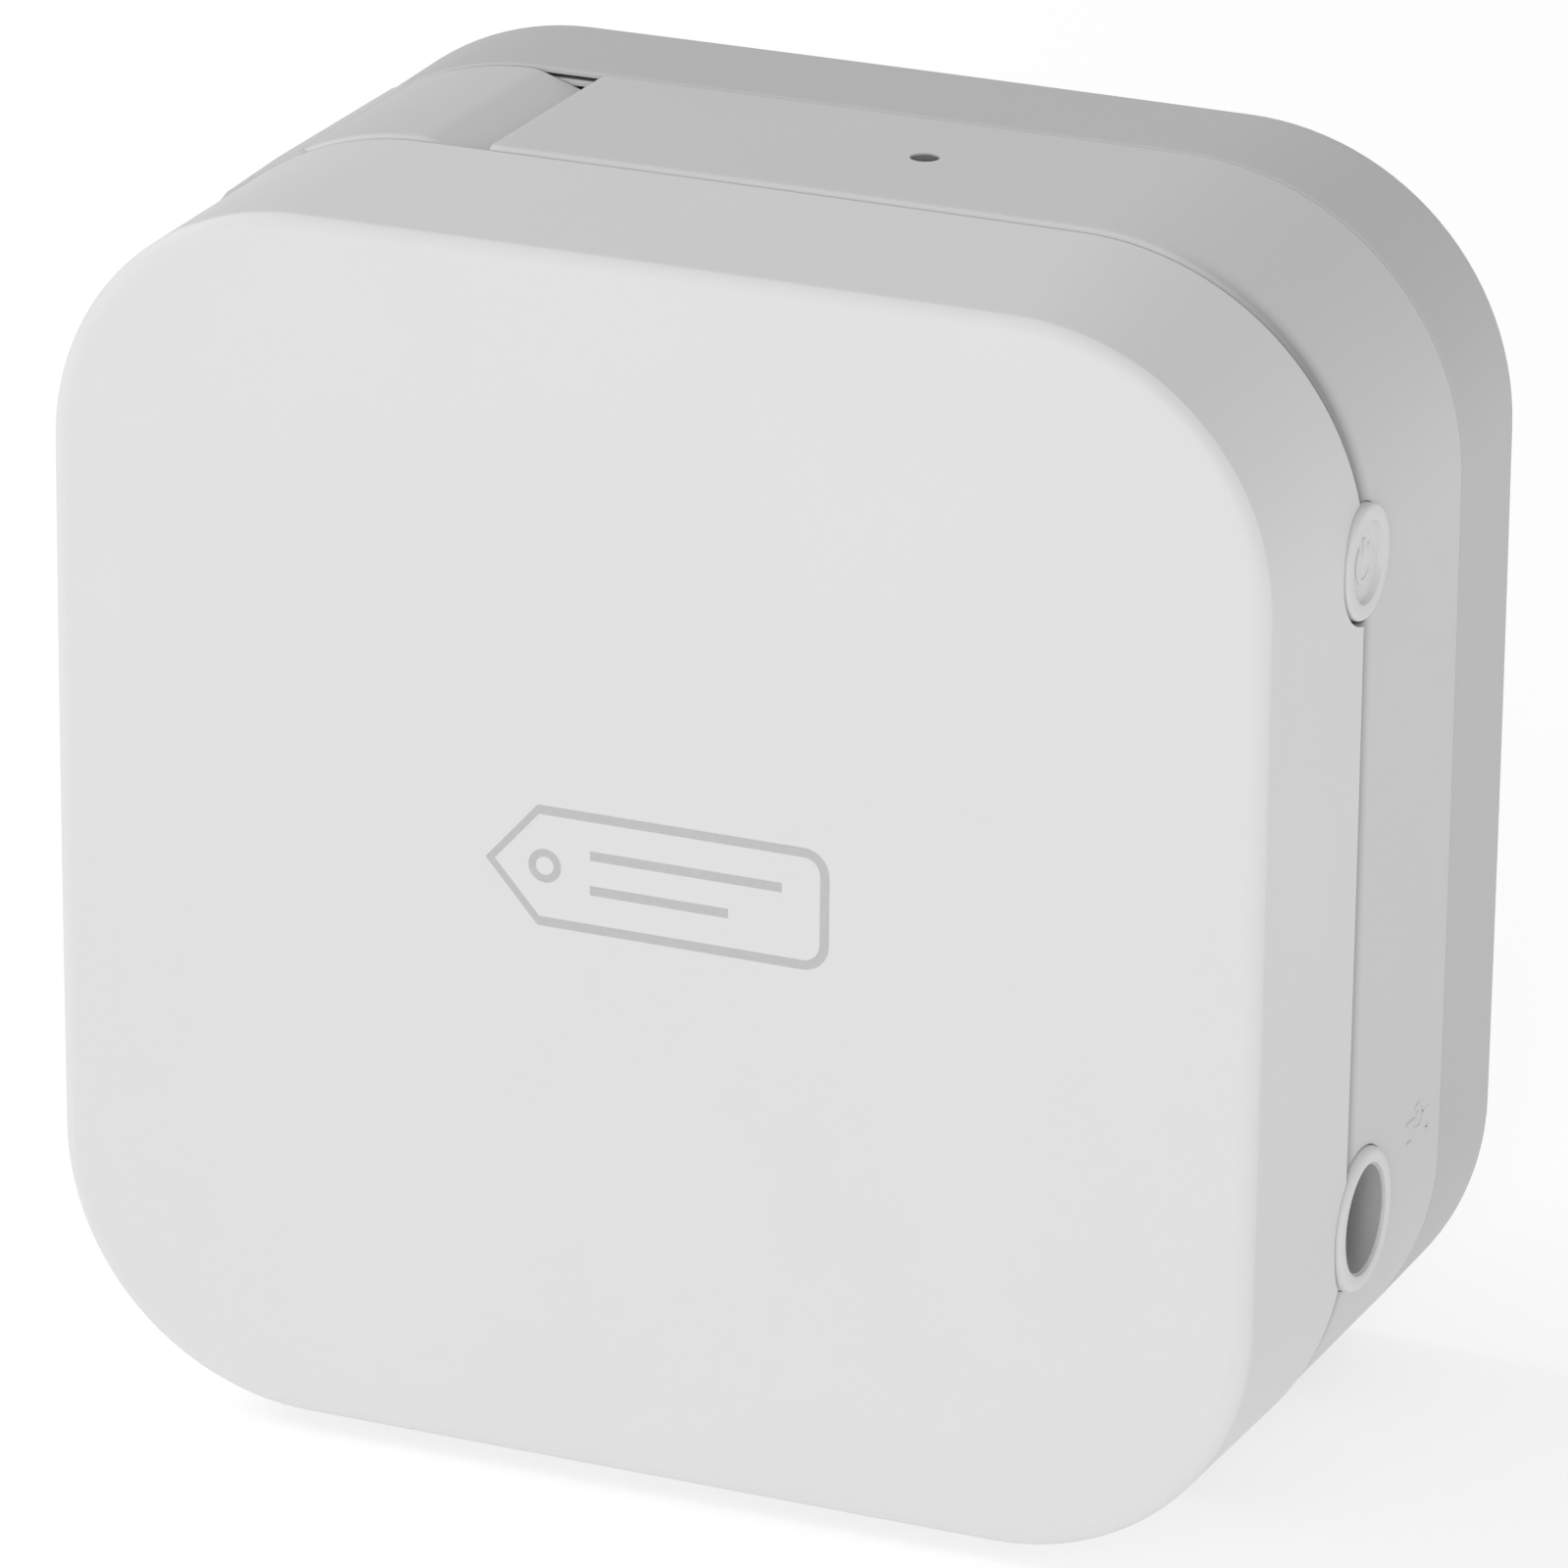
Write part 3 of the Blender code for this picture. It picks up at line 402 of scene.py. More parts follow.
MAKERS = {
    "shell": lambda: moulded_plastic("white_shell", tuple(colours().shell)),
    # Band and cover are darker copies of the shell's white: painted shade.
    "band": lambda: moulded_plastic("band_white_painted_shade", tuple(colours().band)),
    # The band's plastic with a painted shadow behind the front shell's step.
    "band_with_painted_seam_shadow": lambda: moulded_plastic("band_painted_shade_and_seam_shadow", tuple(colours().band), painted_seam_shade=True),
    "cover": lambda: moulded_plastic("grey_cover", tuple(colours().cover)),
    # A darker grey for the inlet's bore: painted shade in the recess.
    "bore_shade": lambda: moulded_plastic("inlet_bore_painted_shade", (0.44, 0.44, 0.44)),
    "dark": lambda: moulded_plastic("dark_plastic", (0.045, 0.045, 0.05), 0.45),
    "cassette": lambda: moulded_plastic("cassette_plastic", (0.085, 0.085, 0.09), 0.42),
    "sleeve": lambda: moulded_plastic("shrink_sleeve", (0.02, 0.02, 0.03), 0.3, 0.00001),
    "steel": lambda: brushed_metal("bright_steel", (0.62, 0.62, 0.63)),
    "nickel": lambda: brushed_metal("nickel_plate", (0.70, 0.67, 0.60), 0.22),
    "shield": lambda: brushed_metal("tinned_shield", (0.72, 0.72, 0.70), 0.38),
    "rubber": rubber,
    "board": circuit_board,
    "tape": laminated_tape,
    "ribbon": ink_ribbon,
    "cell": cell_sleeve,
    "acetal": acetal,
    "lens": smoked_lens,
    "ink": print_ink,
    "ceramic": glazed_ceramic,
}


# --- mesh tools ---

def soften(mesh, angle=32):
    mesh.shade_smooth()
    mesh.set_sharp_from_angle(angle=math.radians(angle))


def finish_piece(name, bm, body, look, replaces=(), angle=32):
    """Places a finished solid in metres, rides it on its body and gives it its finish."""
    bmesh.ops.scale(bm, vec=(MM, MM, MM), verts=bm.verts)
    bmesh.ops.translate(bm, vec=CENTRE, verts=bm.verts)
    mesh = bpy.data.meshes.new(name)
    bm.to_mesh(mesh)
    bm.free()
    soften(mesh, angle)
    mesh.materials.append(finish(look))
    obj = bpy.data.objects.new(name, mesh)
    bpy.context.scene.collection.objects.link(obj)
    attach(obj, body)
    if replaces:
        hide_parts(*replaces)
    return obj


def arc_points(centre, radius, start, end, steps):
    angles = [math.radians(start + (end - start) * i / steps) for i in range(steps + 1)]
    return [Vector((centre[0] + radius * math.cos(a), centre[1] + radius * math.sin(a))) for a in angles]


def bow(distance, reach):
    return size_of("side_bow") * (1 - math.cos(math.pi / 2 * distance / reach))


def case_outline(side=HALF, top=HALF, bottom=HALF, radius=None):
    """An outline of the case in XZ, anticlockwise from the right side: bowed sides, flat bottom."""
    radius = radius or size_of("corner_radius")
    steps = bpy.context.scene.label_maker_sizes.corner_steps
    corner_x = side - size_of("side_bow") - radius
    corner_z = top - size_of("side_bow") - radius
    low_z = radius - bottom
    middle = (low_z + corner_z) / 2
    reach = (corner_z - low_z) / 2
    runs = 16
    points = []

    def side_run(sign):
        for i in range(1, runs):
            z = middle + sign * reach * (2 * i / runs - 1)
            points.append(Vector((sign * (side - bow(abs(z - middle), reach)), z)))

    side_run(1)
    points.extend(arc_points((corner_x, corner_z), radius, 0, 90, steps))
    for i in range(1, runs):
        x = corner_x * (1 - 2 * i / runs)
        points.append(Vector((x, top - bow(abs(x), corner_x))))
    points.extend(arc_points((-corner_x, corner_z), radius, 90, 180, steps))
    side_run(-1)
    points.extend(arc_points((-corner_x, low_z), radius, 180, 270, steps))
    points.extend(arc_points((corner_x, low_z), radius, 270, 360, steps))
    return points


def band_outlines():
    """The band's outlines at its front and rear edge: it lies back behind the front shell's sides."""
    side = HALF - size_of("side_recess")
    return case_outline(side, HALF), case_outline(HALF - 0.12, HALF - 0.12)


def crossing(outline, index, height=None, across=None):
    """The point between an outline's index and the next where it has this height, or this x."""
    here = outline[index]
    there = outline[index + 1]
    if height is not None:
        share = (height - here.y) / (there.y - here.y)
    else:
        share = (across - here.x) / (there.x - here.x)
    return here.lerp(there, share)


def left_index(outline, height):
    """The last point of the left side, counted downwards, that is above this height."""
    return max(i for i, p in enumerate(outline) if p.x < -HALF / 2 and p.y > height)


def top_index(outline, across):
    """The last point of the top, counted leftwards, that is right of this x."""
    return max(i for i, p in enumerate(outline) if p.y > HALF / 2 and p.x > across)


def inward_normals(points, closed=True):
    """The unit direction into the case at each point of an anticlockwise outline."""
    last = len(points) - 1
    normals = []
    for i in range(len(points)):
        before = points[i - 1] if closed or i else points[i]
        after = points[(i + 1) % len(points)] if closed or i < last else points[i]
        run = (after - before).normalized()
        normals.append(Vector((-run.y, run.x)))
    return normals


def held(profile):
    """Adds a step close to each end of the long flats, so that smooth shading stays flat on them."""
    steps = [profile[0]]
    for here, there in zip(profile, profile[1:]):
        length = math.dist(here[:2], there[:2])
        if length > 2.0:
            for share in (0.12 / length, 1 - 0.12 / length):
                steps.append(tuple(a + (b - a) * share for a, b in zip(here, there)))
        steps.append(there)
    return steps


def swept(near, profile, far=None, closed=True, loop_profile=False):
    """A solid from an outline and a profile, each step of which is one extrusion of the loop.

    A step is (y, depth, share): how far back, how far into the case, and how far the outline has gone
    over from near to far. An open profile on a closed outline is capped at both its ends. With
    loop_profile the profile closes on itself, and an open outline is capped where it starts and ends.
    """
    far = far or near
    profile = held(profile)
    bm = bmesh.new()
    home = bm.verts.layers.int.new("station")
    normals = inward_normals(near, closed)

    def stand(vert, y, depth, share=0.0):
        index = vert[home]
        place = near[index].lerp(far[index], share) + normals[index] * depth
        vert.co = (place.x, y, place.y)

    verts = []
    for index in range(len(near)):
        vert = bm.verts.new()
        vert[home] = index
        stand(vert, *profile[0])
        verts.append(vert)
    edges = [bm.edges.new(pair) for pair in zip(verts, verts[1:])]
    if closed:
        edges.append(bm.edges.new((verts[-1], verts[0])))
    start = edges
    for step in profile[1:] + (profile[:1] if loop_profile else []):
        made = bmesh.ops.extrude_edge_only(bm, edges=edges)["geom"]
        moved = [item for item in made if isinstance(item, bmesh.types.BMVert)]
        edges = [item for item in made if isinstance(item, bmesh.types.BMEdge)
                 and item.verts[0] in moved and item.verts[1] in moved]
        for vert in moved:
            stand(vert, *step)
    if loop_profile:
        bmesh.ops.remove_doubles(bm, verts=bm.verts, dist=0.00001)
        if not closed:
            rims = [edge for edge in bm.edges if edge.is_boundary]
            bmesh.ops.holes_fill(bm, edges=rims, sides=0)
    else:
        bmesh.ops.edgeloop_fill(bm, edges=start)
        bmesh.ops.edgeloop_fill(bm, edges=edges)
    bmesh.ops.recalc_face_normals(bm, faces=bm.faces)
    return bm


def fillet(y, depth, radius, turn_y, share=0.0, steps=6, leave=0.0):
    """Profile steps round an outer edge at (y, depth), from the side to the face.

    turn_y is the way from the face into the piece: 1 for a front face, -1 for a rear one.
    leave is the angle, in degrees, that the arc already stands at where it meets the side, so that a
    crease is left there.
    """
    rounding = []
    for i in range(steps + 1):
        angle = math.radians(leave + (90 - leave) * i / steps)
        along = y + turn_y * radius * (1 - math.sin(angle))
        rounding.append((along, depth + radius * (1 - math.cos(angle)), share))
    return rounding


def turned(profile, centre, axis, segments=64, ring=False):
    """Spins (along, radius) points round an axis."""
    bm = bmesh.new()
    across = Z_AXIS if axis != Z_AXIS else X_AXIS
    verts = [bm.verts.new(Vector(centre) + axis * along + across * radius) for along, radius in profile]
    pairs = list(zip(verts, verts[1:])) + ([(verts[-1], verts[0])] if ring else [])
    edges = [bm.edges.new(pair) for pair in pairs]
    bmesh.ops.spin(bm, geom=verts + edges, cent=centre, axis=axis, angle=2 * math.pi, steps=segments,
                   use_merge=True)
    bmesh.ops.remove_doubles(bm, verts=bm.verts, dist=0.0002)
    bmesh.ops.recalc_face_normals(bm, faces=bm.faces)
    return bm


def extruded(points, low, high, round_off=0.0, segments=2):
    """An XZ outline extruded along Y, its edges rounded a little."""
    bm = bmesh.new()
    face = bm.faces.new([bm.verts.new((x, low, z)) for x, z in points])
    made = bmesh.ops.extrude_face_region(bm, geom=[face], use_keep_orig=True)["geom"]
    moved = [item for item in made if isinstance(item, bmesh.types.BMVert)]
    bmesh.ops.translate(bm, vec=(0, high - low, 0), verts=moved)
    bmesh.ops.recalc_face_normals(bm, faces=bm.faces)
    if round_off:
        sharp = [edge for edge in bm.edges if edge.calc_face_angle(0) > math.radians(30)]
        bmesh.ops.bevel(bm, geom=sharp, offset=round_off, offset_type="OFFSET", segments=segments,
                        profile=0.5, affect="EDGES", material=-1)
    return bm


def slab(low, high, round_off=0.15):
    low = Vector(low)
    high = Vector(high)
    outline = [(low.x, low.z), (high.x, low.z), (high.x, high.z), (low.x, high.z)]
    return extruded(outline, low.y, high.y, round_off)


def absorb(bm, *others):
    """Adds other solids to one mesh."""
    for other in others:
        mesh = bpy.data.meshes.new("absorbed")
        other.to_mesh(mesh)
        other.free()
        bm.from_mesh(mesh)
        bpy.data.meshes.remove(mesh)
    return bm


def combined(bm, tool, operation):
    """The exact Boolean of two solids, as a new bmesh."""
    objects = []
    for name, source in (("target", bm), ("tool", tool)):
        mesh = bpy.data.meshes.new(name)
        source.to_mesh(mesh)
        source.free()
        obj = bpy.data.objects.new(name, mesh)
        bpy.context.scene.collection.objects.link(obj)
        objects.append(obj)
    target, cutter = objects
    modifier = target.modifiers.new("combine", "BOOLEAN")
    modifier.operation = operation
    modifier.solver = "EXACT"
    modifier.object = cutter
    graph = bpy.context.evaluated_depsgraph_get()
    result = bmesh.new()
    result.from_mesh(target.evaluated_get(graph).to_mesh())
    for obj in objects:
        mesh = obj.data
        bpy.data.objects.remove(obj)
        bpy.data.meshes.remove(mesh)
    if not result.faces:
        raise RuntimeError("A Boolean left nothing")
    return result


def carved(bm, *tools):
    for tool in tools:
        bm = combined(bm, tool, "DIFFERENCE")
    return bm


def copy_of(node):
    """A frame piece's own shape, merged, in millimetres from the middle of the case."""
    bm = bmesh.new()
    bm.from_mesh(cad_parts[node].data)
    bmesh.ops.translate(bm, vec=-CENTRE, verts=bm.verts)
    bmesh.ops.scale(bm, vec=(1 / MM, 1 / MM, 1 / MM), verts=bm.verts)
    bmesh.ops.remove_doubles(bm, verts=bm.verts, dist=0.0005)
    flat = [edge for edge in bm.edges if len(edge.link_faces) == 2 and edge.calc_face_angle(1) < 0.002]
    bmesh.ops.dissolve_edges(bm, edges=flat, use_verts=True)
    return bm


def side_drill(radius, y, z, low=50.0, high=62.0, segments=64):
    return turned([(low, 0), (low, radius), (high, radius), (high, 0)], (0, y, z), X_AXIS, segments)


# --- case ---

FRONT_SEAM = -9.15
REAR_SEAM = 14.95
SEAM_GAP = 0.15
BAND_FRONT = FRONT_SEAM + SEAM_GAP
BAND_REAR = REAR_SEAM - 0.04
SHELL_LIP_DEPTH = 0.9
COVER_LIP_DEPTH = 0.5
TONGUE_DEPTH = 1.2
TONGUE_EDGE = 0.2
FRAME_DEPTH = 2.35
WELL_DEPTH = 0.85
BUTTON_ROOM = 0.28
SHELL_COLLAR_ROOM = 0.35
FRAME_COLLAR_ROOM = 0.12
LEVER_LOW_Z = 7.3
LEVER_THICKNESS = 1.6
SCOOP_START_X = -31.3
SCOOP_SLOPE = 0.33
SCOOP_EASE = 1.1
SPRING_WIRE = 0.35
SPRING_TURNS = 5
SPRING_TURN_STEPS = 24


def button_drill(room):
    return side_drill(size_of("button_radius") + room, BUTTON_Y, BUTTON_Z - 0.12)


def collar_drill(room):
    return side_drill(COLLAR_RADIUS + room, JACK_Y, JACK_Z)


def build_front_shell():
    front = SHELL_LOW.y
    radius = size_of("front_fillet")
    rim = FRONT_SEAM
    mouth = case_outline(HALF, HALF - 0.35, HALF, 26.5)
    face = case_outline(HALF - 0.6, HALF - 1.3, HALF - 1.55, size_of("front_corner_radius"))
    lip = rim - 3.05
    profile = [(front + 2.2, 5.2, 1), (front + 2.2, 4.4, 1), (front + 3.2, 3.3, 1),
               (lip, FRAME_DEPTH, 0), (lip, SHELL_LIP_DEPTH, 0), (rim, SHELL_LIP_DEPTH, 0),
               (rim, 0.2, 0), (rim - 0.06, 0.06, 0), (rim - 0.2, 0.0, 0)]
    profile += fillet(front, -0.12, radius, 1, 1, 10, 30)
    profile += [(front, radius + 0.3, 1), (front, radius + 6.0, 1)]
    shell = swept(mouth, profile, face)
    shell = carved(shell, button_drill(BUTTON_ROOM), collar_drill(SHELL_COLLAR_ROOM))
    finish_piece("front_case_shell", shell, "case", "shell", ["front_shell"])


def build_back_cover():
    back = COVER_HIGH.y
    radius = size_of("back_fillet")
    rim = REAR_SEAM
    mouth = case_outline(HALF - 0.1, HALF)
    face = case_outline(HALF - 0.15, HALF, HALF - 0.25, 25.5)
    lip = rim + 3.3
    profile = [(back - 2.2, 5.0, 1), (back - 2.2, 4.2, 1), (back - 3.2, 3.1, 1),
               (lip, FRAME_DEPTH, 0), (lip, COVER_LIP_DEPTH, 0), (rim, COVER_LIP_DEPTH, 0)]
    profile += list(reversed(fillet(rim, 0, 0.35, 1, 0, 5)))
    profile += fillet(back, 0, radius, -1, 1, 14)
    profile += [(back, radius + 0.4, 1), (back, radius + 6.0, 1)]
    cover = swept(mouth, profile, face)
    grip = turned([(-11, 0), (-11, 6.0), (11, 6.0), (11, 0)], (0, back + 4.6, -46.0), X_AXIS, 48)
    cover = carved(cover, grip)
    finish_piece("lift_off_cover", cover, "cover", "cover", ["back_cover"])
    floor = back - 2.3
    tabs = [slab((x - 4, 12.8, -54.7), (x + 4, floor, -53.5), 0.25) for x in (-20, 20)]
    latch = slab((-9, 12.8, 53.3), (9, floor, 54.5), 0.25)
    finish_piece("cover_tabs", absorb(latch, *tabs), "cover", "cover")


def band_profile(front, rear, depth, front_edge, rear_edge):
    """A closed profile with both outer edges rounded."""
    return ([(front, depth, 0)] + list(reversed(fillet(front, 0, front_edge, 1, 0, 6)))
            + fillet(rear, 0, rear_edge, -1, 1, 4) + [(rear, depth, 1)])


def band_runs():
    """Both edges of the band without the lever's corner: from the left side down, round and over."""
    outlines = band_outlines()
    low_z = LEVER_LOW_Z - 0.3
    edge_x = size_of("strip_edge")
    left = left_index(outlines[0], low_z)
    top = top_index(outlines[0], edge_x)
    return [[crossing(outline, left, height=low_z)] + outline[left + 1:] + outline[:top + 1]
            + [crossing(outline, top, across=edge_x)] for outline in outlines]


def build_frame():
    near, far = band_runs()
    profile = band_profile(BAND_FRONT, BAND_REAR, FRAME_DEPTH, 0.6, 0.06)
    band = swept(near, profile, far, closed=False, loop_profile=True)
    end_x = size_of("strip_edge")
    ends = [edge for edge in band.edges if edge.calc_face_angle(0) > 1.0
            and all(abs(v.co.x - end_x) < 0.01 and v.co.z > HALF - 1 for v in edge.verts)]
    bmesh.ops.bevel(band, geom=ends, offset=0.22, offset_type="OFFSET", segments=2, profile=0.5,
                    affect="EDGES", material=-1)
    mouth = LIGHT_RADIUS + LIGHT_BORE_EDGE
    light = [(50, 0), (50, LIGHT_RADIUS), (57.4, LIGHT_RADIUS), (57.6, mouth), (60, mouth), (60, 0)]
    band = carved(band, button_drill(BUTTON_ROOM), collar_drill(FRAME_COLLAR_ROOM),
                  turned(light, (LIGHT_X, LIGHT_Y, 0), Z_AXIS, 40))
    # The band's finish carries a painted shadow behind the front seam, on the right side.
    finish_piece("frame_band", band, "case", "band_with_painted_seam_shadow", ["center_frame"])
    plain = case_outline()
    for name, low, high in (("front_tongue", -12.4, BAND_FRONT), ("rear_tongue", BAND_REAR, 18.0)):
        edge_depth = TONGUE_DEPTH + TONGUE_EDGE
        ring = [(low, FRAME_DEPTH), (low, edge_depth), (low + TONGUE_EDGE, TONGUE_DEPTH),
                (high - TONGUE_EDGE, TONGUE_DEPTH), (high, edge_depth), (high, FRAME_DEPTH)]
        tongue = swept(plain, ring, loop_profile=True)
        if name == "front_tongue":
            tongue = carved(tongue, button_drill(BUTTON_ROOM), collar_drill(FRAME_COLLAR_ROOM))
        finish_piece(name, tongue, "case", "band")
    normals = inward_normals(plain)
    low = top_index(plain, size_of("strip_edge") + 1)
    high = top_index(plain, -48)
    well = [(BAND_REAR, 5.5), (BAND_REAR, WELL_DEPTH), (BAND_REAR + 1.0, WELL_DEPTH + 0.1),
            (BAND_REAR + 1.0, 5.5)]
    wall = swept(plain[low:high], well, closed=False, loop_profile=True)
    finish_piece("lever_well_wall", wall, "case", "band")
    inside = [(p.x, p.y) for p in (q + n * (FRAME_DEPTH + 0.5) for q, n in zip(plain, normals))]
    core = combined(copy_of("center_frame"), extruded(inside, -16, 20), "INTERSECT")
    finish_piece("frame_core", core, "case", "band", angle=25)


def scoop_drop(x):
    """How far the lever's top has gone down at this x: an eased start, then an even slope."""
    along = x - SCOOP_START_X
    if along <= 0:
        return 0.0
    if along < SCOOP_EASE:
        return SCOOP_SLOPE * along * along / (2 * SCOOP_EASE)
    return SCOOP_SLOPE * (along - SCOOP_EASE / 2)


def lever_runs():
    """Both edges of the lever's outside: up the scoop from its tip, round the corner, down the side."""
    outlines = [case_outline(HALF - 0.05, HALF - inset) for inset in (0.1, 0.15)]
    tip = LEVER_HIGH.x
    head = SCOOP_START_X - 0.2
    first = top_index(outlines[0], head)
    last = left_index(outlines[0], LEVER_LOW_Z)
    steps = 26
    runs = []
    for outline in outlines:
        top = crossing(outline, first, across=head)
        places = [tip + (top.x - tip) * i / steps for i in range(steps)]
        scoop = [Vector((x, top.y - scoop_drop(x))) for x in places]
        end = crossing(outline, last, height=LEVER_LOW_Z)
        runs.append(scoop + [top] + outline[first + 1:last + 1] + [end])
    return runs


def build_cutter_lever():
    near, far = lever_runs()
    profile = band_profile(BAND_FRONT + 0.1, BAND_REAR - 0.2, LEVER_THICKNESS, 0.7, 0.25)
    lever = swept(near, profile, far, closed=False, loop_profile=True)
    edge_x = size_of("strip_edge") - 0.15
    under_z = HALF - FRAME_DEPTH - 0.2
    trims = [slab((edge_x, low, low_z), (-18, high, 58.5), 0)
             for low, high, low_z in ((-12, -3.9, 48), (9.9, 16, 48), (-12, 16, under_z))]
    lever = carved(lever, *trims)
    finish_piece("lever_skin", lever, "lever", "band", ["cutter_lever"])
    ribs = combined(copy_of("cutter_lever"), slab((-55.2, -20, -20), (-31.5, 30, 54.6), 0), "INTERSECT")
    finish_piece("lever_ribs", ribs, "lever", "band", angle=25)


def build_lever_spring():
    """A wound return spring for the lever to come down on, built at one length."""
    low, high = frame_box("lever_spring")
    reach = (high.x - low.x) / 2 - SPRING_WIRE
    steps = SPRING_TURNS * SPRING_TURN_STEPS
    centre = Vector(((low.x + high.x) / 2, (low.y + high.y) / 2, low.z))
    coil = bmesh.new()
    bmesh.ops.create_circle(coil, cap_ends=True, segments=10, radius=SPRING_WIRE)
    upright = Matrix.Rotation(math.radians(90), 3, X_AXIS)
    bmesh.ops.rotate(coil, verts=coil.verts, cent=(0, 0, 0), matrix=upright)
    bmesh.ops.translate(coil, verts=coil.verts, vec=centre + Vector((reach, 0, SPRING_WIRE)))
    rise = (high.z - low.z - 2 * SPRING_WIRE) / steps
    bmesh.ops.spin(coil, geom=coil.verts[:] + coil.edges[:] + coil.faces[:], cent=centre, axis=Z_AXIS,
                   dvec=(0, 0, rise), angle=2 * math.pi * SPRING_TURNS, steps=steps)
    bmesh.ops.recalc_face_normals(coil, faces=coil.faces)
    spring = finish_piece("lever_coil", coil, "case", "steel", ["lever_spring"])
    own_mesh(spring)


class CaseOperator:
    """What the operators below share: they run the function that build names."""

    bl_options = {"REGISTER"}

    def execute(self, context):
        type(self).build()
        return {"FINISHED"}


class LABELMAKER_OT_front_shell(CaseOperator, bpy.types.Operator):
    """Make the deep front shell"""

    bl_idname = "labelmaker.front_shell"
    bl_label = "Front shell"
    build = staticmethod(build_front_shell)


class LABELMAKER_OT_frame(CaseOperator, bpy.types.Operator):
    """Make the band, its strip and tongues, and the wall inside"""

    bl_idname = "labelmaker.frame"
    bl_label = "Frame"
    build = staticmethod(build_frame)


class LABELMAKER_OT_back_cover(CaseOperator, bpy.types.Operator):
    """Make the lift-off back cover"""

    bl_idname = "labelmaker.back_cover"
    bl_label = "Back cover"
    build = staticmethod(build_back_cover)


class LABELMAKER_OT_cutter_lever(CaseOperator, bpy.types.Operator):
    """Make the corner lever with its scoop"""

    bl_idname = "labelmaker.cutter_lever"
    bl_label = "Cutter lever"
    build = staticmethod(build_cutter_lever)


class LABELMAKER_OT_lever_spring(CaseOperator, bpy.types.Operator):
    """Wind the lever's return spring"""

    bl_idname = "labelmaker.lever_spring"
    bl_label = "Lever spring"
    build = staticmethod(build_lever_spring)


# --- right side ---

def rounded_rim(face, radius, edge, steps, first=0):
    """(along, radius) points round a turned piece's outer edge, up to its face."""
    angles = [math.radians(90 * i / steps) for i in range(first, steps + 1)]
    return [(face - edge * (1 - math.sin(a)), radius - edge * (1 - math.cos(a))) for a in angles]


def build_power_button():
    radius = size_of("button_radius")
    face = BUTTON_HIGH.x + 0.35
    dish = radius - 1.45
    level = face - 0.6
    centre = (0, BUTTON_Y, BUTTON_Z + 0.08)
    profile = [(53.1, 0), (53.1, 1.2), (53.6, 1.2), (53.6, 6.0), (54.4, 6.0), (54.4, radius),
               (face - 0.5, radius)]
    profile += rounded_rim(face, radius, 0.35, 5, first=1)
    profile += [(face, dish + 0.16), (face - 0.04, dish + 0.04), (level + 0.06, dish - 0.12),
                (level, dish - 0.26), (level, 0)]
    finish_piece("button_cap", turned(profile, centre, X_AXIS, 96), "button", "shell",
                 ["power_button"])
    ring = bmesh.new()
    section = [(level - 0.1, 1.5), (level + 0.12, 1.56), (level + 0.16, 1.75), (level + 0.12, 1.94),
               (level - 0.1, 2.0)]
    spot = Vector(centre)
    turn = Matrix.Rotation(math.radians(38), 3, X_AXIS)
    verts = [ring.verts.new(spot + X_AXIS * along + turn @ (Z_AXIS * reach)) for along, reach in section]
    bmesh.ops.spin(ring, geom=[ring.faces.new(verts)], cent=centre, axis=X_AXIS,
                   angle=math.radians(284), steps=40)
    bmesh.ops.recalc_face_normals(ring, faces=ring.faces)
    bar = slab((level - 0.1, BUTTON_Y - 0.22, BUTTON_Z + 0.5),
               (level + 0.16, BUTTON_Y + 0.22, BUTTON_Z + 2.2), 0.1)
    finish_piece("power_symbol", absorb(ring, bar), "button", "shell")


def build_power_inlet():
    centre = (0, JACK_Y, JACK_Z)
    face = HALF + 0.3
    floor = 49.9
    bore = 5.0
    profile = [(floor, bore), (floor, COLLAR_RADIUS)]
    profile += rounded_rim(face, COLLAR_RADIUS, 0.7, 7)
    profile += [(face, bore + 0.4), (face - 0.05, bore + 0.2), (face - 0.15, bore + 0.06),
                (face - 0.35, bore)]
    finish_piece("inlet_collar", turned(profile, centre, X_AXIS, 96, ring=True), "case", "shell",
                 ["dc_jack_collar"])
    # A darker grey tube lines the bore behind its mouth: painted shade in the recess.
    bore_shade = [(floor, bore - 0.15), (floor, bore), (face - 0.4, bore), (face - 0.45, bore - 0.15)]
    finish_piece("inlet_bore_painted_shade", turned(bore_shade, centre, X_AXIS, 96, ring=True), "case", "bore_shade")
    body = carved(slab((42.5, -9.6, JACK_Z - 5.4), (49.5, 0.4, JACK_Z + 5.4), 0.25),
                  side_drill(3.4, JACK_Y, JACK_Z, 43.7, 52))
    finish_piece("inlet_body", body, "case", "dark", ["dc_jack_body"])
    pin = [(44, 0), (44, 0.9), (52.4, 0.9), (52.9, 0.75), (53.15, 0.4), (53.2, 0)]
    finish_piece("inlet_pin", turned(pin, centre, X_AXIS, 32), "case", "nickel",
                 ["dc_jack_pin"])
    sleeve = [(44.5, 3.35), (44.5, 3.1), (48.8, 3.0), (49.2, 3.35)]
    sleeve = turned(sleeve, centre, X_AXIS, 48, ring=True)
    finish_piece("inlet_sleeve", sleeve, "case", "nickel")


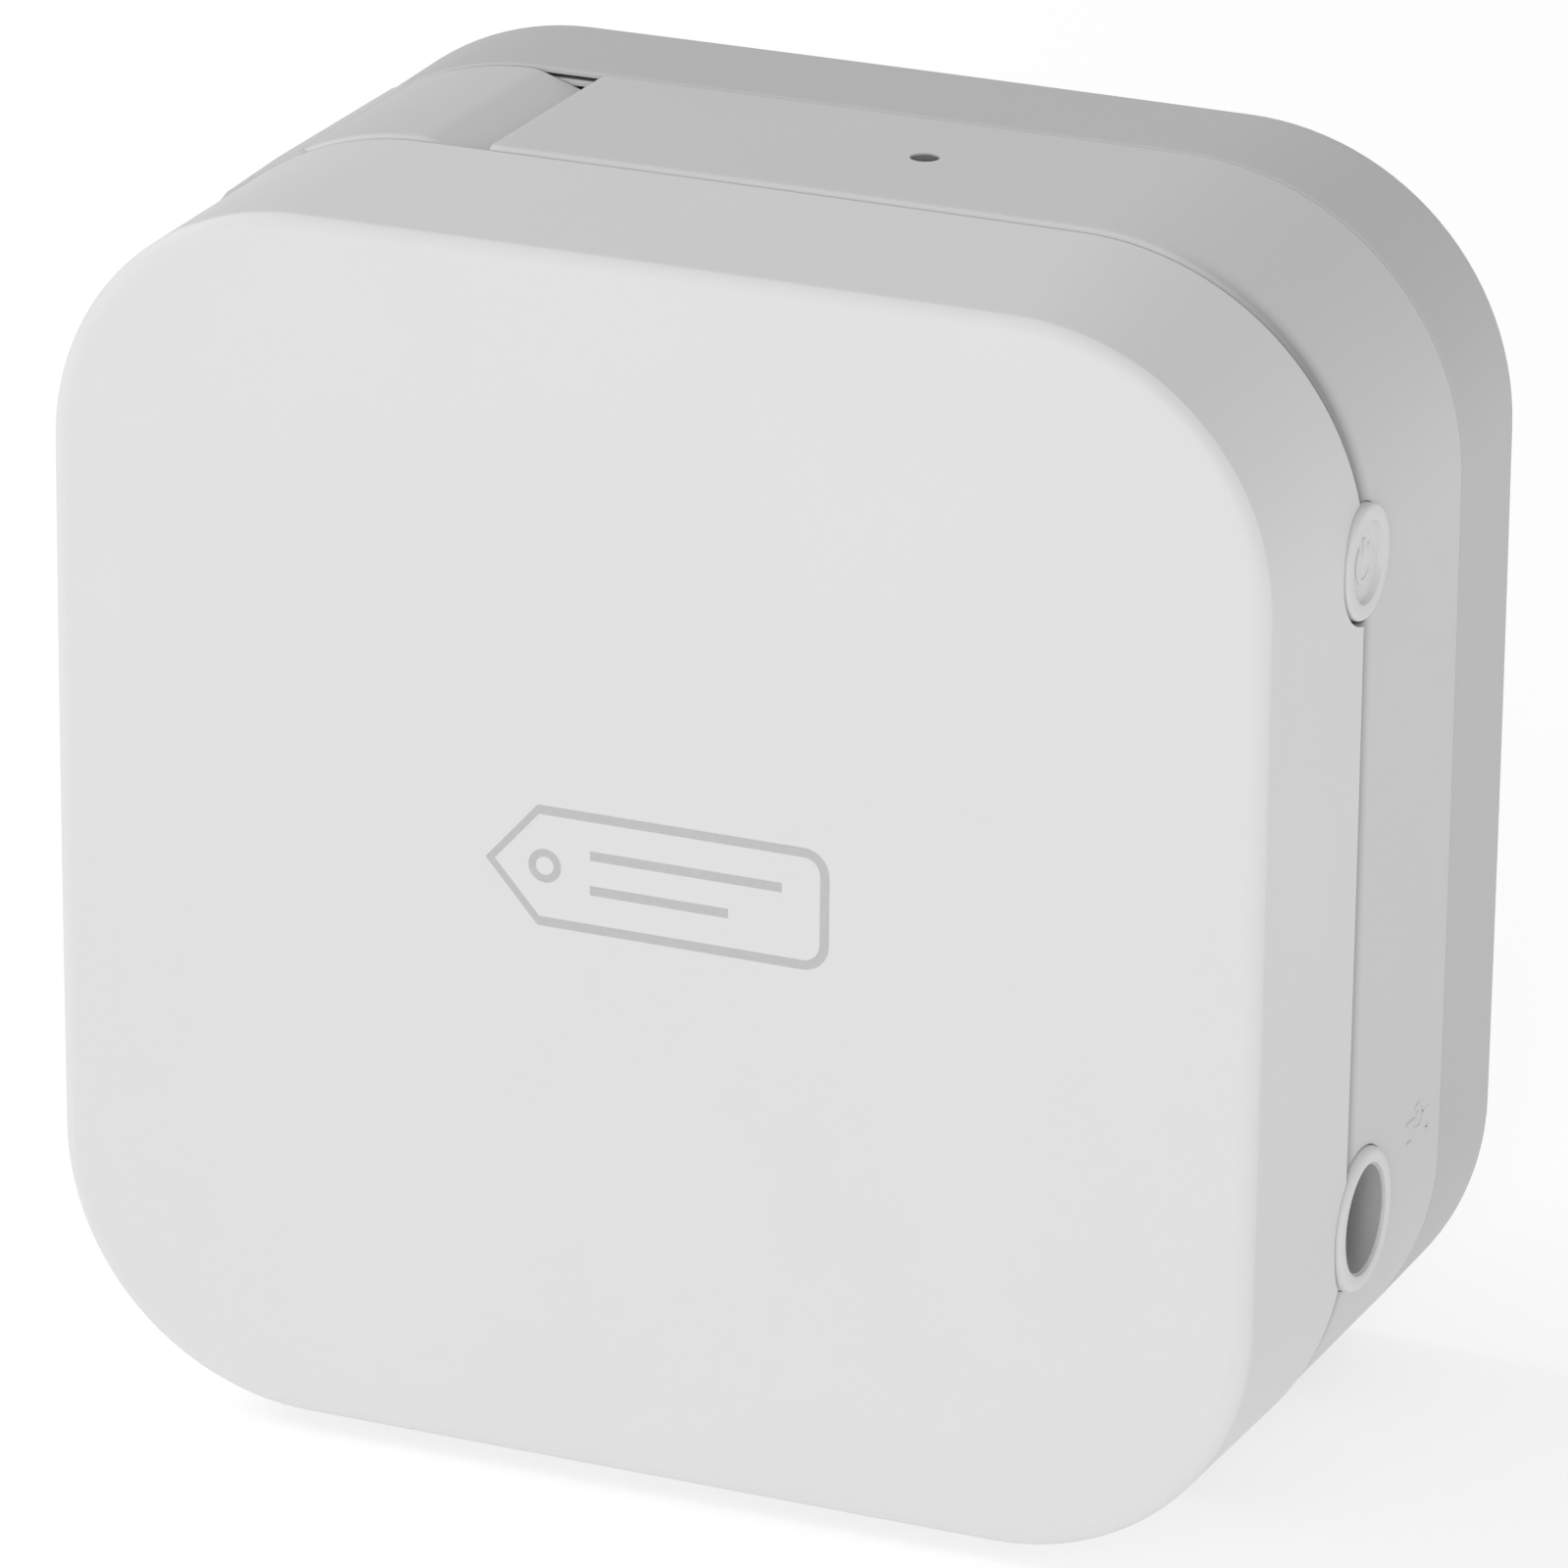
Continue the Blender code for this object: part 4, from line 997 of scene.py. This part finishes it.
def build_polarity_mark():
    """A raised sign beside the inlet: centre dot, open ring, and a plus and a minus on leads."""
    level = HALF - size_of("side_recess") + 0.2
    foot = level - 0.2
    top = level + 0.05
    y0 = 9.3
    z0 = -26.3
    marks = []

    def bar(y_low, y_high, z_low, z_high):
        marks.append(slab((foot, y_low, z_low), (top, y_high, z_high), 0.02))

    bar(y0 - 2.9, y0 - 0.9, z0 - 0.13, z0 + 0.13)
    bar(y0 + 0.6, y0 + 2.9, z0 - 0.13, z0 + 0.13)
    for side, plus in ((-1, False), (1, True)):
        y = y0 + side * 2.2
        bar(y - 0.55, y + 0.55, z0 - 2.0, z0 - 1.76)
        if plus:
            bar(y - 0.12, y + 0.12, z0 - 2.43, z0 - 1.33)
    spot = Vector((0, y0, z0))
    dot = turned([(foot, 0), (foot, 0.5), (top, 0.45), (top, 0)], spot, X_AXIS, 24)
    ring = bmesh.new()
    section = [(foot, 1.0), (top, 1.03), (top, 1.24), (foot, 1.27)]
    turn = Matrix.Rotation(math.radians(-40), 3, X_AXIS)
    verts = [ring.verts.new(spot + X_AXIS * along + turn @ (Y_AXIS * reach * -1))
             for along, reach in section]
    bmesh.ops.spin(ring, geom=[ring.faces.new(verts)], cent=spot, axis=X_AXIS,
                   angle=math.radians(-280), steps=28)
    bmesh.ops.recalc_face_normals(ring, faces=ring.faces)
    finish_piece("polarity_mark", absorb(dot, ring, *marks), "case", "band")


class LABELMAKER_OT_power_button(CaseOperator, bpy.types.Operator):
    """Make the dished power button and its raised sign"""

    bl_idname = "labelmaker.power_button"
    bl_label = "Power button"
    build = staticmethod(build_power_button)


class LABELMAKER_OT_power_inlet(CaseOperator, bpy.types.Operator):
    """Make the power inlet with its collar, socket and pin"""

    bl_idname = "labelmaker.power_inlet"
    bl_label = "Power inlet"
    build = staticmethod(build_power_inlet)


class LABELMAKER_OT_polarity_mark(CaseOperator, bpy.types.Operator):
    """Make the raised polarity sign beside the inlet"""

    bl_idname = "labelmaker.polarity_mark"
    bl_label = "Polarity sign"
    build = staticmethod(build_polarity_mark)


# --- marks and light ---

def stroke(points, width, low, high, closed=False):
    """A flat line of even width through XZ points, standing from low to high along Y."""
    path = [Vector(p) for p in points]
    count = len(path)
    left = []
    right = []
    for i, point in enumerate(path):
        before = path[i - 1] if closed or i else point
        after = path[(i + 1) % count] if closed or i < count - 1 else point
        run = (after - before).normalized()
        side = Vector((-run.y, run.x)) * width / 2
        left.append(point + side)
        right.append(point - side)
    bm = bmesh.new()
    outer = [bm.verts.new((p.x, low, p.y)) for p in left]
    inner = [bm.verts.new((p.x, low, p.y)) for p in right]
    pairs = count if closed else count - 1
    edges_outer = [bm.edges.new((outer[i], outer[(i + 1) % count])) for i in range(pairs)]
    edges_inner = [bm.edges.new((inner[i], inner[(i + 1) % count])) for i in range(pairs)]
    faces = bmesh.ops.bridge_loops(bm, edges=edges_outer + edges_inner)["faces"]
    made = bmesh.ops.extrude_face_region(bm, geom=faces, use_keep_orig=True)["geom"]
    moved = [item for item in made if isinstance(item, bmesh.types.BMVert)]
    bmesh.ops.translate(bm, vec=(0, high - low, 0), verts=moved)
    bmesh.ops.recalc_face_normals(bm, faces=bm.faces)
    return bm


def build_printed_mark():
    """A plain sign for a label: a strip with one pointed end, a hole and two lines on it."""
    low = SHELL_LOW.y - 0.015
    high = SHELL_LOW.y + 0.1
    left, right = -14.5, 17.0
    bottom, top = -4.7, 5.6
    middle = (bottom + top) / 2
    width = 0.85
    corner = 2.0
    outline = [(left, middle), (left + 4.6, bottom)]
    outline += arc_points((right - corner, bottom + corner), corner, 270, 360, 8)
    outline += arc_points((right - corner, top - corner), corner, 0, 90, 8)
    outline += [(left + 4.6, top)]
    tag = stroke(outline, width, low, high, closed=True)
    hole = stroke(arc_points((left + 5.2, middle), 1.2, 0, 345, 23), 0.7, low, high, closed=True)
    lines = [stroke([(left + 9.5, z), (x_high, z)], width, low, high)
             for x_high, z in ((right - 4.0, middle + 1.6), (right - 9.0, middle - 1.6))]
    finish_piece("printed_mark", absorb(tag, hole, *lines), "case", "ink")


def build_status_light():
    radius = LIGHT_RADIUS - 0.06
    high = HALF - 0.2
    profile = [(LENS_LOW.z, 0), (LENS_LOW.z, radius), (high - 0.2, radius), (high - 0.06, radius - 0.05),
               (high, radius - 0.2), (high + 0.05, radius / 2), (high + 0.06, 0)]
    window = turned(profile, (LIGHT_X, LIGHT_Y, 0), Z_AXIS, 40)
    finish_piece("status_window", window, "case", "lens", ["status_light_lens"])


class LABELMAKER_OT_printed_mark(CaseOperator, bpy.types.Operator):
    """Print the generic label sign on the front"""

    bl_idname = "labelmaker.printed_mark"
    bl_label = "Printed sign"
    build = staticmethod(build_printed_mark)


class LABELMAKER_OT_status_light(CaseOperator, bpy.types.Operator):
    """Make the status light's window"""

    bl_idname = "labelmaker.status_light"
    bl_label = "Status light"
    build = staticmethod(build_status_light)


# --- finishes of the pieces inside ---

INSIDE = {
    "board": ("main_board",),
    "shield": ("wireless_module",),
    "sleeve": ("board_capacitor",),
    "dark": ("power_switch", "blade_carrier"),
    "steel": ("feed_motor", "fixed_knife", "cutter_blade", "lever_pivot_pin", "head_pivot_pin", "head_arm"),
    "ceramic": ("print_head",),
    "acetal": ("drive_gear", "idler_gear", "platen_gear", "motor_pinion", "ribbon_spindle"),
    "rubber": ("platen_roller",),
    "ribbon": ("takeup_core", "ribbon_roll"),
    "tape": ("tape_roll", "label_tape"),
    "cassette": ("cassette_tray", "cassette_lid"),
    "nickel": tuple(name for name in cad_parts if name.startswith(("case_screw", "battery_contact"))),
}


def build_inside_finishes():
    for look, names in INSIDE.items():
        for name in names:
            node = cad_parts[name]
            node.data.materials.clear()
            node.data.materials.append(finish(look))


class LABELMAKER_OT_inside_finishes(CaseOperator, bpy.types.Operator):
    """Give every frame piece that stays its own finish"""

    bl_idname = "labelmaker.inside_finishes"
    bl_label = "Inside finishes"
    build = staticmethod(build_inside_finishes)


def build_cells():
    """Six sleeved cells, each turned with its crimped ends and button."""
    for number in range(1, 7):
        low, high = frame_box("battery_%d" % number)
        radius = (high.x - low.x) / 2
        length = high.z - low.z
        profile = [(0, 0), (0, 3.6), (0.15, 3.9), (0.15, 4.5), (0.0, 4.75), (0.12, radius - 0.12),
                   (0.5, radius), (length - 1.6, radius), (length - 1.2, radius - 0.12),
                   (length - 1.0, 4.75), (length - 1.15, 4.4), (length - 1.15, 2.2),
                   (length - 1.0, 1.95), (length - 0.2, 1.9), (length, 1.7), (length, 0)]
        centre = ((low.x + high.x) / 2, (low.y + high.y) / 2, low.z)
        if number % 2 == 0:
            profile = [(length - along, reach) for along, reach in profile]
        cell = turned(profile, centre, Z_AXIS, 48)
        finish_piece("cell_%d" % number, cell, "case", "cell", ["battery_%d" % number])


class LABELMAKER_OT_cells(CaseOperator, bpy.types.Operator):
    """Make the six cells"""

    bl_idname = "labelmaker.cells"
    bl_label = "Cells"
    build = staticmethod(build_cells)


# --- stage ---

FLOOR_REACH = 4.0
FLOOR_GLOW = 0.52
ROOM_GLOW = 0.63
LIGHTS = (
    ("front_softbox", (-0.7, -1.6, 0.4), 0.8, 3.4),
    ("grazing_softbox", (0.42, -1.62, 0.45), 0.34, 5.9),
    ("left_softbox", (-1.3, -0.1, 1.0), 0.9, 8.0),
    ("right_softbox", (1.6, 0.0, 0.5), 1.0, 1.9),
)


def build_stage():
    scene = bpy.context.scene
    scene.view_settings.view_transform = "Standard"
    floor = Finish("pale_floor", (0.55, 0.55, 0.55), 0.9)
    tone = floor.noise(3, 2)
    floor.set("Base Color", floor.mix(tone, (0.545, 0.545, 0.545), (0.555, 0.555, 0.555)))
    floor.set("Emission Color", (1, 1, 1, 1))
    floor.set("Emission Strength", FLOOR_GLOW)
    bm = bmesh.new()
    bmesh.ops.create_grid(bm, x_segments=1, y_segments=1, size=FLOOR_REACH)
    mesh = bpy.data.meshes.new("studio_floor")
    bm.to_mesh(mesh)
    bm.free()
    mesh.materials.append(floor.material)
    ground = bpy.data.objects.new("studio_floor", mesh)
    scene.collection.objects.link(ground)
    ground.location.z = CAD_LOW.z

    world = bpy.data.worlds.new("soft_room")
    scene.world = world
    world.use_nodes = True
    background = world.node_tree.nodes["Background"]
    background.inputs["Color"].default_value = (1, 1, 1, 1)
    background.inputs["Strength"].default_value = ROOM_GLOW

    target = bpy.data.objects.new("light_target", None)
    scene.collection.objects.link(target)
    target.location = CENTRE
    for name, place, size, power in LIGHTS:
        light = bpy.data.lights.new(name, "AREA")
        light.shape = "DISK"
        light.size = size
        light.energy = power
        lamp = bpy.data.objects.new(name, light)
        scene.collection.objects.link(lamp)
        lamp.location = place
        aim = lamp.constraints.new("TRACK_TO")
        aim.target = target
        aim.track_axis = "TRACK_NEGATIVE_Z"
        aim.up_axis = "UP_Y"
    build_camera(scene)


CAMERA_AZIMUTH = 23.235
CAMERA_ELEVATION = 20.578
CAMERA_ROLL = 0.572
CAMERA_DISTANCE = 0.8939
CAMERA_LENS = 231.5
CAMERA_SHIFT = (0.0001, -0.0064)


def build_camera(scene):
    """A long lens, turned to the right of the front and looking down."""
    azimuth = math.radians(CAMERA_AZIMUTH)
    elevation = math.radians(CAMERA_ELEVATION)
    roll = math.radians(CAMERA_ROLL)
    back = Vector((math.sin(azimuth) * math.cos(elevation),
                   -math.cos(azimuth) * math.cos(elevation), math.sin(elevation)))
    right = Vector((math.cos(azimuth), math.sin(azimuth), 0))
    up = back.cross(right)
    tilted_right = math.cos(roll) * right + math.sin(roll) * up
    tilted_up = math.cos(roll) * up - math.sin(roll) * right
    data = bpy.data.cameras.new("camera")
    data.sensor_width = 36
    data.lens = CAMERA_LENS
    data.shift_x, data.shift_y = CAMERA_SHIFT
    camera = bpy.data.objects.new("camera", data)
    scene.collection.objects.link(camera)
    turn = Matrix((tilted_right, tilted_up, back)).transposed().to_4x4()
    camera.matrix_world = Matrix.Translation(CENTRE + back * CAMERA_DISTANCE) @ turn
    scene.camera = camera


class LABELMAKER_OT_stage(CaseOperator, bpy.types.Operator):
    """Make the pale floor, the soft lights and the camera"""

    bl_idname = "labelmaker.stage"
    bl_label = "Stage"
    build = staticmethod(build_stage)


OPERATORS = (
    LABELMAKER_OT_stage,
    LABELMAKER_OT_front_shell,
    LABELMAKER_OT_frame,
    LABELMAKER_OT_back_cover,
    LABELMAKER_OT_cutter_lever,
    LABELMAKER_OT_lever_spring,
    LABELMAKER_OT_power_button,
    LABELMAKER_OT_power_inlet,
    LABELMAKER_OT_polarity_mark,
    LABELMAKER_OT_printed_mark,
    LABELMAKER_OT_status_light,
    LABELMAKER_OT_cells,
    LABELMAKER_OT_inside_finishes,
)


class LABELMAKER_PT_panel(bpy.types.Panel):
    """Lists the label maker's settings and pieces"""

    bl_idname = "LABELMAKER_PT_panel"
    bl_label = "Label Maker"
    bl_space_type = "VIEW_3D"
    bl_region_type = "UI"
    bl_category = "Label Maker"

    def draw(self, context):
        column = self.layout.column()
        for group in (context.scene.label_maker_sizes, context.scene.label_maker_colours):
            for key in type(group).__annotations__:
                column.prop(group, key)
        for operator in OPERATORS:
            column.operator(operator.bl_idname)


CLASSES = (CaseSizes, CaseColours, *OPERATORS, LABELMAKER_PT_panel)


def register():
    for item in CLASSES:
        bpy.utils.register_class(item)
    bpy.types.Scene.label_maker_sizes = bpy.props.PointerProperty(type=CaseSizes)
    bpy.types.Scene.label_maker_colours = bpy.props.PointerProperty(type=CaseColours)


def unregister():
    del bpy.types.Scene.label_maker_colours
    del bpy.types.Scene.label_maker_sizes
    for item in reversed(CLASSES):
        bpy.utils.unregister_class(item)


def main():
    register()
    for operator in OPERATORS:
        name = operator.bl_idname.split(".")[1]
        getattr(bpy.ops.labelmaker, name)()


if __name__ == "__main__":
    main()
